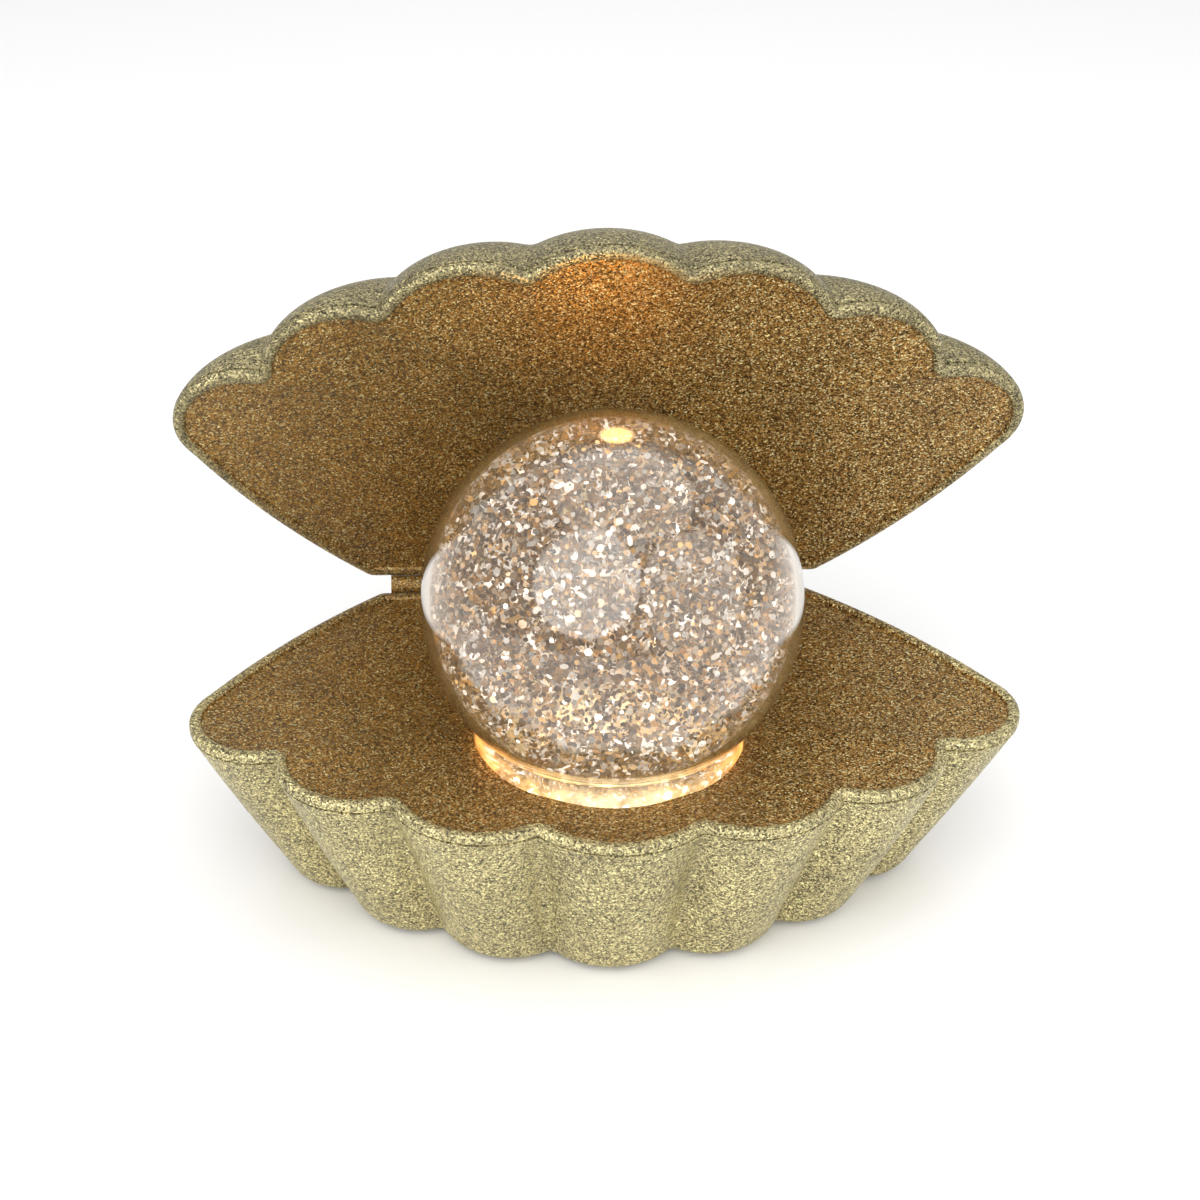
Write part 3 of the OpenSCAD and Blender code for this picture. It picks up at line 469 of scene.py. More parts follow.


def tray(size, hole, lean):
    """A tray's rings, as one closed section carried round the outline: the inner face from its middle or
    its round hole out to the lip, half an ellipse over the lip, the groove at the seam, the locating
    skirt and the underside back to the middle. Returns the points, and how much of the lip's paler tone
    each of them takes: partly the outer coat's colour, partly a painted highlight that fades towards the
    hinge."""
    edge = Edge(soft_outline(0.7))
    lip, top, seam, wall = mm("lip_width"), -mm("gap"), seam_height(), mm("wall")
    rim = resized(edge.at, size) - edge.out * lip
    if hole:
        centre = np.array([0, HINGE[1] - GLOBE_AT[1]])
        away = rim - centre
        inner = centre + hole * away / np.hypot(*away.T)[:, None]
    else:
        inner = TRAY_CENTRE + (rim - TRAY_CENTRE) * 0.01
    t = np.linspace(0, 1, 26)[:, None, None]
    flat = inner * (1 - t) + rim * t
    height = tray_height(flat, rim, edge.up)
    face = np.stack([flat[..., 0], -flat[..., 1], height], -1)
    if hole:
        face[0, :, 2] -= HOLE_ROUND
        face[1, :, :2] = face[0, :, :2] * 0.985 + face[1, :, :2] * 0.015
    under = face[::-1] - np.array([0, 0, mm("skin")])
    under[-1, :, 2] += HOLE_ROUND if hole else 0
    bend = np.radians(np.linspace(0, 180, 19))
    skirt = wall + FIT
    below = [(0, seam + GROOVE), (GROOVE_DEEP, seam), (skirt, seam), (skirt + lean, seam - SKIRT_DEEP),
             (skirt + lean + SKIRT_WIDE, seam - SKIRT_DEEP),
             (skirt + SKIRT_WIDE + 2 * FIT, top - LIP_STEP - mm("skin"))]
    over = np.stack([lip / 2 * (1 + np.cos(bend)), top - LIP_STEP + LIP_STEP * np.sin(bend)], 1)
    inset, z = np.concatenate([over, below]).T
    rise = mm("ridge") * 0.4 * (1 - edge.up)
    lips = rings(edge, z, -inset, size=size)
    lips[:, :, 2] += np.clip(1 - np.arange(len(z)) / (len(bend) // 2), 0, 1)[:, None] * rise
    points = np.concatenate([face[:-1], lips, under[1:]])
    row = np.arange(len(points)) - len(face) + 1
    on_lip = (row > len(bend) // 5) & (row < len(bend) + 2)
    # painted highlight: the lip's paler tone is full in front and falls to 0.3 of it towards the hinge
    return points, (on_lip[:, None] * np.clip(edge.at[:, 1] / LIP_HIGHLIGHT_FROM, 0.3, 1)).ravel()


def marked(piece, name, values):
    """Stores one value for each point of a piece, for its finish to read."""
    piece.data.attributes.new(name, "FLOAT", "POINT").data.foreach_set("value", values.astype(np.float32))


BAR_HALF, BAR_DEEP = 42.2, 8.6  # room for the hinge's cover bar in the back edges
SHELL_ROOM, TRAY_ROOM = 5.8, 7  # its depth below the hinge axis in a shell and in a tray


def bar_room(depth):
    low, high = np.array([-BAR_HALF, -BAR_DEEP, -depth]), np.array([BAR_HALF, 12, 20])
    return blocks([(low, high)])


def moved(shape, place):
    return place(shape[0]), shape[1]


def post(x, y, profile):
    return turned(profile, (x, y, 0), 40)


def rod(radius, low, high):
    """Profile of a plain round rod."""
    return [(0, low), (radius, low), (radius, high), (0, high)]


def sleeve(inner, outer, low, high):
    """Profile of a straight tube."""
    return [(inner, low), (outer, low), (outer, high), (inner, high)]


def cut_up(low_x, low_y, high_x, high_y, top):
    """A block that comes up from below the foot to a height."""
    return blocks([((low_x, low_y, UNDERNEATH), (high_x, high_y, top))])


def cut_round(x, y, half_x, half_y, top):
    """The same round a middle."""
    return cut_up(x - half_x, y - half_y, x + half_x, y + half_y, top)


UNDERNEATH = -1  # cuts from below start here
FLOOR_CUT = 8  # and go this far above the casing's underside
RECESS = 1.7  # depth of the battery door's recess
BOX_WALL = 1.6  # wall of the battery box
TONGUE_BACK = 3.4  # the door's screw behind the end of its tongue
TONGUE_ROOM = (4.8, 3.7, 5.3)  # half width, ahead and behind of the tongue's own recess
DOOR_AXIS = 0.8  # the door's hinge axis ahead of its back edge
DOOR_BACK = 1.8  # the recess goes so far behind that axis
SWITCH_TRAVEL = 4
KNOB_SLOT, KNOB_ROOM = (4.1, 1.5), (6.3, 3.8)  # half sizes of the switch slot and of its recess
WELL_R, POST_R, CASE_HOLE_R = 3, 4.2, 1.7  # screw wells, their posts and the holes at their tops
WELL_TOP, POST_TOP = 29, 32
DOOR_HOLE_R, DOOR_BOSS_R, DOOR_BOSS_H = 1.17, 3.6, 6.4
PEG_R, PEG_HOLE_R = 2, 0.9  # pegs that carry the control board
SCREW_BOSS_R, SCREW_HOLE_R = 3.2, 1.32  # bosses of the collar's screws
COLLAR_SCREWS = 43  # their distance from the globe's axis
POSTS = [(side * x, HINGE[1] - ahead) for x, ahead in ((44.6, 14), (54.3, 78)) for side in (1, -1)]


class LAMP_OT_casing(bpy.types.Operator):
    """Lower casing with its ribs, battery recess, switch slot and screw posts"""
    bl_idname = "lamp.casing"
    bl_label = "Casing"

    def execute(self, context):
        under = HINGE[2] + seam_height() - mm("casing_height")
        casing = mesh_object("casing", moved(grid(casing_walls(), caps=True), in_base))
        door_low, door_high = cad_box("battery_door")
        box_low, box_high = cad_box("battery_box")
        knob_low, knob_high = cad_box("switch_knob")
        tongue, axis, recess = door_low[1] + TONGUE_BACK, door_high[1] - DOOR_AXIS, under + RECESS
        x, y = (knob_low[0] + knob_high[0] + SWITCH_TRAVEL) / 2, (knob_low[1] + knob_high[1]) / 2
        wide, ahead, behind = TONGUE_ROOM
        wells = [post(*at, rod(WELL_R, UNDERNEATH, under + 6)) for at in POSTS]
        door_room = cut_up(door_low[0] + 1.3, tongue + 2.7, door_high[0] - 1.3, axis + DOOR_BACK, recess)
        knob_room = cut_round(x, y, *KNOB_ROOM, under + 1)
        tongue_room = cut_up(-wide, tongue - ahead, wide, tongue + behind, recess + 0.001)
        cells = cut_up(box_low[0] + BOX_WALL, box_low[1] + BOX_WALL, box_high[0] - BOX_WALL,
                       axis + DOOR_BACK, under + FLOOR_CUT)
        slot = cut_round(x, y, *KNOB_SLOT, under + FLOOR_CUT)
        hole = post(0, tongue, rod(DOOR_HOLE_R, UNDERNEATH, recess + 5.8))
        pins = cut_up(door_low[0] - 0.4, axis - 0.9, door_high[0] + 0.4, axis + 0.9, recess + 0.1)
        carve(casing, [moved(bar_room(SHELL_ROOM), in_base), joined(wells + [door_room, knob_room]),
                       joined([tongue_room, slot]), joined([cells, hole]), pins])
        settle(casing, "base", "pale_glitter", "lower_shell")
        tube = [(WELL_R, under + 0.5), (POST_R, under + 0.5), (POST_R, POST_TOP), (CASE_HOLE_R, POST_TOP),
                (CASE_HOLE_R, WELL_TOP), (WELL_R, WELL_TOP)]
        boss = sleeve(DOOR_HOLE_R, DOOR_BOSS_R, recess, recess + DOOR_BOSS_H)
        peg = sleeve(PEG_HOLE_R, PEG_R, under + 2.5, under + 7)
        board_low, board_high = cad_box("control_board")
        pegs = [post(x, y, peg) for x in (board_low[0] + 3, board_high[0] - 3)
                for y in (board_low[1] + 3, board_high[1] - 3)]
        posts = mesh_object("casing_posts", joined([post(x, y, tube) for x, y in POSTS]
                                                   + [post(0, tongue, boss)] + pegs), 30)
        settle(posts, "base", "pale_glitter")
        return {"FINISHED"}


class LAMP_OT_deck(bpy.types.Operator):
    """Deck with its rounded lip, its round opening and its bosses"""
    bl_idname = "lamp.deck"
    bl_label = "Deck"

    def execute(self, context):
        points, pale = tray(PLAIN, mm("globe_wall") + 34.3, CASING_LEAN)
        deck = mesh_object("deck_skin", moved(grid(points, loop=True), in_base))
        marked(deck, "lip", pale)
        carve(deck, [moved(bar_room(TRAY_ROOM), in_base)])
        settle(deck, "base", "bronze_glitter", "deck")
        top = HINGE[2] - 4.2
        ring = sleeve(SCREW_HOLE_R, SCREW_BOSS_R, cad_box("globe_collar")[1][2], top)
        tube = sleeve(1.47, DOOR_BOSS_R, POST_TOP, top)
        leaf = sleeve(SCREW_HOLE_R, 3.5, HINGE[2] - 7.2, top)
        quarter = np.radians([45, 135, 225, 315])
        bosses = [post(COLLAR_SCREWS * math.cos(a), GLOBE_AT[1] + COLLAR_SCREWS * math.sin(a), ring)
                  for a in quarter]
        bosses += [post(x, y, tube) for x, y in POSTS] + [post(x, HINGE[1] - 16.5, leaf) for x in (-28, 28)]
        settle(mesh_object("deck_bosses", joined(bosses), 30), "base", "bronze_glitter")
        return {"FINISHED"}


class LAMP_OT_lid(bpy.types.Operator):
    """Domed lid shell"""
    bl_idname = "lamp.lid"
    bl_label = "Lid"

    def execute(self, context):
        lid = mesh_object("lid_dome", moved(grid(dome_walls(), caps=True), in_lid))
        carve(lid, [moved(bar_room(SHELL_ROOM), in_lid)])
        # the lid's dome takes a darker copy of the casing's coat, painted shade
        settle(lid, "lid", "pale_glitter", "lid_shell", look="shaded_lid_glitter")
        return {"FINISHED"}


class LAMP_OT_liner(bpy.types.Operator):
    """Inner face of the lid with its rounded lip"""
    bl_idname = "lamp.liner"
    bl_label = "Lid liner"

    def execute(self, context):
        points, pale = tray(lid_size(), 0, DOME_LEAN)
        liner = mesh_object("liner_skin", moved(grid(points, caps=True), in_lid))
        marked(liner, "lip", pale)
        carve(liner, [moved(bar_room(TRAY_ROOM), in_lid)])
        # the liner's lip takes the darker copy of the pale coat, painted shade
        settle(liner, "lid", "bronze_glitter", "lid_liner", look="liner_glitter")
        return {"FINISHED"}


# ---- globe ---------------------------------------------------------------
NECK_R = 36.2


def cap_run(radius, low_radius, n, top_radius=0.0):
    """A ball's profile from near its top down to where its radius is low_radius below the middle."""
    start = math.asin(top_radius / radius)
    a = np.linspace(start, math.pi - math.asin(low_radius / radius), n)
    return np.stack([radius * np.sin(a), radius * np.cos(a) + GLOBE_AT[2]], 1)


class LAMP_OT_globe(bpy.types.Operator):
    """Clear ball with its neck, and the liquid with the air bubble at its top"""
    bl_idname = "lamp.globe"
    bl_label = "Globe and liquid"

    def execute(self, context):
        at = (0, GLOBE_AT[1], 0)
        wall, foot, outer = mm("globe_wall"), GLOBE_LOW[2], GLOBE_R - 0.01
        neck = NECK_R
        outside, inside = cap_run(outer, neck, 90), cap_run(GLOBE_R - wall, neck - wall, 90)
        outside[0, 0] = inside[0, 0] = 0
        fillet = np.array([(neck, outside[-1, 1] - 0.6), (neck, foot + 0.4), (neck - 0.4, foot),
                           (neck - wall, foot), (neck - wall, inside[-1, 1] - 0.5)])
        globe = mesh_object("globe_shell", turned(np.concatenate([outside, fillet, inside[::-1]]), at, 180))
        settle(globe, "base", "clear_globe", "globe")
        film, bottom = 0.05, cad_box("globe_liquid")[0][2]
        body = cap_run(GLOBE_R - wall - film, neck - wall - film, 90, mm("bubble"))
        level = body[0, 1]
        wheel = cad_box("impeller")[1][0] + 1.6
        brim = [(0, level), (mm("bubble") - 1.2, level), (mm("bubble") - 0.4, level + 0.05)]
        well = [(neck - wall - film, bottom), (wheel, bottom), (wheel, bottom + 8), (0, bottom + 8)]
        liquid = mesh_object("globe_fill", turned(np.concatenate([brim, body[1:], well]), at, 180))
        settle(liquid, "base", "liquid", "globe_liquid")
        return {"FINISHED"}


def bubble_level():
    """Height of the flat liquid surface under the air bubble."""
    return GLOBE_AT[2] + math.sqrt((GLOBE_R - mm("globe_wall")) ** 2 - mm("bubble") ** 2)


def flake_cloud(count, seed, outward, scale):
    """Centres, sizes, turns and shades of flakes, drawn once from a seed: spread through the liquid,
    clear of the bubble, the impeller and the wall. The nearer outward is to 0, the closer they are to the
    wall; scale is their size next to the flake radius in the settings."""
    draw = np.random.default_rng(seed)
    n = count * 2
    way = draw.normal(size=(n, 3))
    way /= np.linalg.norm(way, axis=1)[:, None]
    room = GLOBE_R - mm("globe_wall") - 0.1
    size = scale * mm("flake") * np.exp(draw.normal(0, 0.28, n)).clip(0.5, 1.9)
    r = (room - size) * draw.random(n) ** outward
    at = way * r[:, None] + GLOBE_AT
    side = np.hypot(at[:, 0], at[:, 1] - GLOBE_AT[1])
    bottom = cad_box("globe_liquid")[0][2]
    clear = (at[:, 2] + size < bubble_level() - 0.2) & (at[:, 2] > bottom + 3)
    clear &= (side > 17) | (at[:, 2] > bottom + 11)
    clear &= (side + size < 33.5) | (at[:, 2] > bottom + 12)
    keep = np.flatnonzero(clear)[:count]
    turn = draw.normal(size=(n, 4))[keep]
    turn /= np.linalg.norm(turn, axis=1)[:, None]
    shade = draw.random(n)[keep]
    return at[keep], size[keep], turn, shade


def flakes(name, count, seed, outward, scale, look):
    """Thin closed six-sided plates. Each is one plate turned by a unit quaternion, scaled and moved."""
    at, size, turn, shade = flake_cloud(count, seed, outward, scale)
    w, x, y, z = turn.T
    spin = np.array([[1 - 2 * (y * y + z * z), 2 * (x * y - w * z), 2 * (x * z + w * y)],
                     [2 * (x * y + w * z), 1 - 2 * (x * x + z * z), 2 * (y * z - w * x)],
                     [2 * (x * z - w * y), 2 * (y * z + w * x), 1 - 2 * (x * x + y * y)]]).transpose(2, 0, 1)
    a = np.arange(6) * math.pi / 3
    flat = np.stack([np.cos(a), np.sin(a), np.zeros(6)], 1)
    plate = np.concatenate([flat + [0, 0, 0.04], flat - [0, 0, 0.04]])
    verts = np.einsum("nij,nkj->nki", spin, plate * size[:, None, None]) + at[:, None]
    ring = np.arange(6)
    sides = np.stack([ring, ring + 6, np.roll(ring, -1) + 6, np.roll(ring, -1)], 1)
    shift = 12 * np.arange(len(at))[:, None, None]
    faces = [(ring[None] + shift).reshape(-1, 6), ((ring[::-1] + 6)[None] + shift).reshape(-1, 6),
             (sides + shift).reshape(-1, 4)]
    cloud = mesh_object(name, (verts.reshape(-1, 3), faces), 20)
    marked(cloud, "shade", np.repeat(shade, 12))
    return settle(cloud, "base", "liquid", look=look)


class LAMP_OT_flakes(bpy.types.Operator):
    """Silver, gold and pearl flakes in the liquid"""
    bl_idname = "lamp.flakes"
    bl_label = "Flakes"

    def execute(self, context):
        flakes("silver_flakes", sizes().silver_count, 11, 0.24, 0.95, "silver_flake")
        flakes("gold_flakes", sizes().gold_count, 23, 0.18, 1.0, "gold_flake")
        flakes("pearl_flakes", sizes().pearl_count, 37, 0.12, 1.2, "pearl_flake")
        return {"FINISHED"}


# ---- finishes ------------------------------------------------------------
class Coat:
    """A material under construction, with short ways to add a node and wire it."""

    def __init__(self, name):
        self.name, self.material = name, bpy.data.materials.new(name)
        self.material.use_nodes = True
        self.tree = self.material.node_tree
        self.shader = self.tree.nodes["Principled BSDF"]
        self.place = self.add("TexCoord").outputs["Object"]

    def add(self, kind, inputs=(), **settings):
        node = self.tree.nodes.new("ShaderNode" + kind)
        for key, value in settings.items():
            setattr(node, key, value)
        for key, value in dict(inputs).items():
            self.feed(node.inputs[key], value)
        return node

    def feed(self, socket, value):
        if isinstance(value, bpy.types.NodeSocket):
            self.tree.links.new(value, socket)
        elif socket.type == "RGBA" and len(value) == 3:
            socket.default_value = (*value, 1)
        else:
            socket.default_value = value

    def set(self, **values):
        for key, value in values.items():
            self.feed(self.shader.inputs[key.replace("_", " ").title().replace("Ior", "IOR")], value)
        return self

    def ramp(self, factor, stops, step=False):
        node = self.add("ValToRGB", {"Fac": factor})
        ramp = node.color_ramp
        ramp.interpolation = "CONSTANT" if step else "LINEAR"
        while len(ramp.elements) < len(stops):
            ramp.elements.new(0.5)
        for element, (at, tone) in zip(ramp.elements, stops):
            element.position = at
            element.color = (*(tone if hasattr(tone, "__len__") else (tone,) * 3), 1)
        return node.outputs["Color"]

    def noise(self, size, detail=3.0, at=None):
        """Smooth noise with features of about that size, in metres."""
        return self.add("TexNoise", {"Vector": at or self.place, "Scale": 1 / size,
                                     "Detail": detail}).outputs["Fac"]

    def bump(self, height, strength, distance):
        node = self.add("Bump", {"Height": height, "Strength": strength, "Distance": distance})
        return node.outputs["Normal"]

    def blend(self, factor, a, b, how="MIX"):
        node = self.add("Mix", data_type="RGBA", blend_type=how)
        for key, value in (("Factor", factor), ("A", a), ("B", b)):
            socket = [s for s in node.inputs if s.name == key and s.enabled][0]
            self.feed(socket, value)
        return [s for s in node.outputs if s.enabled][0]

    def along(self, axis):
        return self.add("SeparateXYZ", {"Vector": self.place}).outputs[axis]

    def span(self, value, low, high, start=0.0, end=1.0):
        """Runs from start at a low value to end at a high one."""
        return self.add("MapRange", {"Value": value, "From Min": low, "From Max": high,
                                     "To Min": start, "To Max": end}).outputs["Result"]

    def height(self, low, high):
        """1 at a low height falling to 0 at a high one, in millimetres."""
        return self.span(self.along("Z"), low * MM, high * MM, 1.0, 0.0)

    def maths(self, operation, *values):
        return self.add("Math", dict(enumerate(values)), operation=operation).outputs[0]

    def vector(self, operation, inputs, out="Vector"):
        return self.add("VectorMath", inputs, operation=operation).outputs[out]


def tint(base, factor):
    return tuple(min(1.0, c * factor) for c in base)


# Shares of a coat's tone, drawn grain by grain at random: tones near the coat's own are its colour, the paler
# ones at the top stand in for grains that catch the light, painted glints.
FINE_STOPS = [(0.0, 0.1), (0.2, 0.38), (0.5, 0.85), (0.78, 1.3), (0.92, 1.85), (1.0, 2.7)]
DEEP_STOPS = [(0.0, 0.1), (0.3, 0.42), (0.6, 0.95), (0.8, 1.5)]


def grains(base, stops, brightest=()):
    """Ramp stops from shares of one tone, then any paler tones for the brightest grains, which are painted
    glints.
    """
    return [(at, tint(base, part)) for at, part in stops] + list(brightest)


def glitter(name, tones, lip=None, tilt=0.55, metal=0.5, rough=0.42):
    """A coat of fine glitter: every grain is one Voronoi cell with its own tone and its own small tilt.
    Where the attribute lip is 1 the grains take the lip's tone instead."""
    coat = Coat(name)
    cells = coat.add("TexVoronoi", {"Vector": coat.place, "Scale": 1 / sizes().grain}, feature="F1")
    random = coat.add("SeparateColor", {"Color": cells.outputs["Color"]})
    tone = coat.ramp(random.outputs["Red"], tones)
    if lip:
        on_lip = coat.add("Attribute", attribute_name="lip").outputs["Fac"]
        rim = coat.ramp(random.outputs["Red"], lip)
        tone = coat.blend(on_lip, tone, rim)
    patch = coat.ramp(coat.noise(0.018), [(0.3, 0.86), (0.7, 1.12)])
    coat.set(base_color=coat.blend(1.0, tone, patch, "MULTIPLY"), metallic=metal, roughness=rough)
    lean = coat.vector("SUBTRACT", {0: cells.outputs["Color"], 1: (0.5, 0.5, 0.5)})
    normal = coat.add("NewGeometry").outputs["Normal"]
    both = coat.vector("ADD", {0: normal, 1: coat.vector("SCALE", {0: lean, "Scale": tilt})})
    return coat.set(normal=coat.vector("NORMALIZE", {0: both}))


def clear_globe():
    """Clear moulding with painted light: its left and right sides are tinted brown, a painted shade that
    dims their bright edges, and an amber glow round its neck is painted for the lamp's light carried in it.
    """
    coat = Coat("clear_globe").set(roughness=0.015, ior=1.49, transmission_weight=1.0)
    # painted glow: the lamp's light in the neck, painted as amber emission in patches that fades out upwards
    glow = coat.height(GLOBE_AT[2] - 38.5, GLOBE_AT[2] - 35)
    painted_glow_patches = coat.ramp(coat.noise(0.006, 2.0), [(0.4, 0.25), (0.62, 1.0)])
    level = coat.blend(1.0, coat.ramp(glow, [(0, 0.0), (1, 1.0)]), painted_glow_patches, "MULTIPLY")
    strength = coat.maths("MULTIPLY", level, 0.7)
    off = coat.maths("ABSOLUTE", coat.along("X"))
    # painted shade: the ball's left and right sides tinted brown; the painted glow turns more orange towards
    # them
    side, edge = coat.span(off, 0.008, 0.032), coat.span(off, 0.036, 0.05)
    coat.set(base_color=coat.blend(edge, (0.99, 0.97, 0.94), (0.70, 0.60, 0.48)))
    tone = coat.ramp(side, [(0, (1.0, 0.80, 0.45)), (0.5, (1.0, 0.62, 0.22)), (1, (1.0, 0.42, 0.10))])
    return coat.set(emission_color=tone, emission_strength=strength)


def liquid():
    """Nearly clear and faintly warm, with painted light: an amber glow round the floor of the air bubble and
    a faint warm glow through all the rest, for the lamp's light caught and scattered in the liquid.
    """
    coat = Coat("liquid").set(base_color=(0.985, 0.965, 0.93), roughness=0.0, ior=1.33,
                              transmission_weight=1.0)
    top = (0, GLOBE_AT[1] * MM, bubble_level() * MM)
    # painted light: a strong amber glow within a few millimetres of the bubble's floor, a faint warm glow
    # elsewhere
    below = coat.span(coat.vector("DISTANCE", {0: coat.place, 1: top}, "Value"), 0.0032, 0.0048)
    tone = coat.blend(below, (1.0, 0.62, 0.22), (0.66, 0.46, 0.29))
    strength = coat.maths("MULTIPLY_ADD", below, -1.9, 2.0)
    return coat.set(emission_color=tone, emission_strength=strength)


def flake_coat(name, tone, painted_glint_strength, bright=0.15):
    """Metal foil whose tone differs at random from flake to flake, nearly black to nearly white, which partly
    stands in for their differing reflections, a painted reflection. The flakes also glow in their own tone,
    painted light: more the lower they sit, for the lamp's warm light from below, and most on the brightest
    flakes, as painted glints. The third argument is how strongly the brightest flakes glow, bright is the
    share of flakes that do."""
    coat = Coat(name)
    shade = coat.add("Attribute", attribute_name="shade").outputs["Fac"]
    tones = grains(tone, [(0, 0.08), (0.4, 0.35), (0.8, 0.85)], [(1, (1, 0.97, 0.93))])
    coat.set(base_color=coat.ramp(shade, tones), metallic=0.85, roughness=0.28)
    # painted light from below and painted glints: the glow grows towards the bottom of the globe and with a
    # flake's shade
    low = coat.height(GLOBE_AT[2] - 40, GLOBE_AT[2] + 10)
    painted_glint_glow = coat.ramp(shade, [(0, 0.0), (max(0.05, 0.85 - 2 * bright), 0.06), (1 - bright, 0.5), (1, 1.0)])
    level = coat.maths("MULTIPLY", coat.maths("MULTIPLY_ADD", low, 0.25, 0.35), painted_glint_glow)
    return coat.set(emission_color=tint(tone, 1.0), emission_strength=coat.maths("MULTIPLY", level, painted_glint_strength))


def moulded(name, base, rough=0.45, grain=0.0004, depth=0.00002, **more):
    """Moulded plastic with a fine spark grain and slightly uneven tone."""
    coat = Coat(name)
    tone = coat.ramp(coat.noise(0.01), [(0.3, tint(base, 0.92)), (0.7, tint(base, 1.06))])
    return coat.set(base_color=tone, roughness=rough, normal=coat.bump(coat.noise(grain), 0.4, depth), **more)


def metal(name, base, rough=0.28, streak=0.0006):
    """Drawn metal: long fine streaks from noise stretched along X, and a little tarnish."""
    coat = Coat(name)
    long = coat.add("Mapping", {"Vector": coat.place, "Scale": (0.06, 1, 1)}).outputs["Vector"]
    lines = coat.noise(streak, 4.0, long)
    tone = coat.ramp(coat.noise(0.006), [(0.3, tint(base, 0.8)), (0.65, base)])
    sheen = coat.ramp(lines, [(0.3, rough * 0.8), (0.7, rough * 1.5)])
    return coat.set(base_color=tone, roughness=sheen, metallic=1.0, normal=coat.bump(lines, 0.25, 0.00001))


def board():
    coat = Coat("circuit_board")
    tracks = coat.add("TexVoronoi", {"Vector": coat.place, "Scale": 450.0}, feature="DISTANCE_TO_EDGE")
    tone = coat.ramp(tracks.outputs["Distance"], [(0.0, (0.02, 0.16, 0.06)), (0.06, (0.01, 0.09, 0.035))])
    return coat.set(base_color=tone, roughness=0.35, coat_weight=0.3)


def lit(name, tone, strength):
    coat = Coat(name)
    uneven = coat.ramp(coat.noise(0.003), [(0.3, strength * 0.8), (0.7, strength * 1.2)])
    return coat.set(base_color=(0.9, 0.85, 0.7), roughness=0.4, emission_color=tone, emission_strength=uneven)


def cell_wrap():
    """A printed sleeve in two plain tones, split along the cell, without any lettering."""
    coat = Coat("cell_wrap")
    band = coat.span(coat.along("X"), -0.028, 0.028)
    tone = coat.ramp(band, [(0, (0.02, 0.02, 0.022)), (0.36, (0.5, 0.27, 0.07))], step=True)
    return coat.set(base_color=tone, roughness=0.3, metallic=0.4,
                    normal=coat.bump(coat.noise(0.0008), 0.2, 0.00002))


def make_finishes():
    """Builds every finish once, by name."""
    c = colours()
    # painted glints: the brightest bronze grains take the pale tone and paler
    painted_grain_glints = [(0.91, tint(c.pale, 1.0)), (1.0, tint(c.pale, 2.0))]
    bronze = grains(tuple(c.bronze), DEEP_STOPS, painted_grain_glints)
    # The lid's copies of the pale coat, on its dome and on its liner's lip, are darker than the casing's and
    # the deck's: painted shade.
    lip, shaded_pale = grains(tint(c.pale, 0.95), FINE_STOPS), grains(tint(c.pale, 0.6), FINE_STOPS)
    built = [
        glitter("pale_glitter", grains(tuple(c.pale), FINE_STOPS)),
        glitter("shaded_lid_glitter", shaded_pale),
        glitter("bronze_glitter", bronze, lip),
        glitter("liner_glitter", bronze, shaded_pale),
        clear_globe(),
        liquid(),
        # every flake coat glows: painted glints, and painted light from the lamp below
        flake_coat("silver_flake", tuple(c.silver), 0.8),
        flake_coat("gold_flake", tuple(c.gold), 1.1),
        flake_coat("pearl_flake", (1.0, 0.97, 0.92), 2.6, 0.4),
        moulded("clear_plug", (0.95, 0.93, 0.88), 0.15, transmission_weight=0.7),
        lit("frosted_plastic", tuple(c.amber), 1.2),
        lit("warm_lamps", tuple(c.amber), 12.0),
        moulded("white_plastic", (0.78, 0.77, 0.73)),
        moulded("black_plastic", (0.018, 0.018, 0.02), 0.5),
        moulded("black_rubber", (0.022, 0.021, 0.02), 0.8, 0.0007, 0.00005),
        metal("steel", (0.62, 0.61, 0.59)),
        metal("magnet", (0.35, 0.35, 0.36), 0.4),
        board(),
        cell_wrap(),
        moulded("wire", (0.42, 0.03, 0.02), 0.4),
    ]
    return {coat.name: coat.material for coat in built}


FINISHES = {}


def finish(name):
    if not FINISHES:
        FINISHES.update(make_finishes())
    return FINISHES[name]


# ---- carried-over parts --------------------------------------------------
NODE_FINISH = {
    "pale_glitter": ["battery_door"],
    "bronze_glitter": ["base_hinge_bracket", "lid_hinge_bracket"],
    "clear_plug": ["globe_plug"],
    "frosted_plastic": ["diffuser"],
    "white_plastic": ["globe_collar", "motor_bracket", "impeller", "drive_rotor"],
    "black_plastic": ["battery_box", "switch_body", "switch_knob", "board_parts"],
    "black_rubber": ["globe_seal", "rubber_feet", "friction_washers"],
    "steel": ["hinge_pin", "base_hinge_screws", "lid_hinge_screws", "collar_screws", "impeller_spindle",
              "motor", "bracket_screws", "contact_springs", "contact_plates", "door_screw", "case_screws"],
    "magnet": ["impeller_magnet", "drive_magnets"],
    "circuit_board": ["led_board", "control_board"],
    "warm_lamps": ["leds"],
    "cell_wrap": ["batteries"],
    "wire": ["wire_loom"],
}


class LAMP_OT_fittings(bpy.types.Operator):
    """Finishes for the hinge, drive, light, battery and switch parts that keep their CAD shape"""
    bl_idname = "lamp.fittings"
    bl_label = "Fittings"

    def execute(self, context):
        for name, nodes in NODE_FINISH.items():
            for node in nodes:
                part = frame["nodes"][node]
                part.data.materials.clear()
                part.data.materials.append(finish(name))
        return {"FINISHED"}


# ---- studio --------------------------------------------------------------
VIEW = (-4.02, 31, 1.26, 0.75)  # azimuth, elevation and roll in degrees, distance in metres
LENS = 76.845  # focal length over a 36 mm frame
VIEW_SHIFT = (0.0054167, -0.0133333)  # shares of the frame


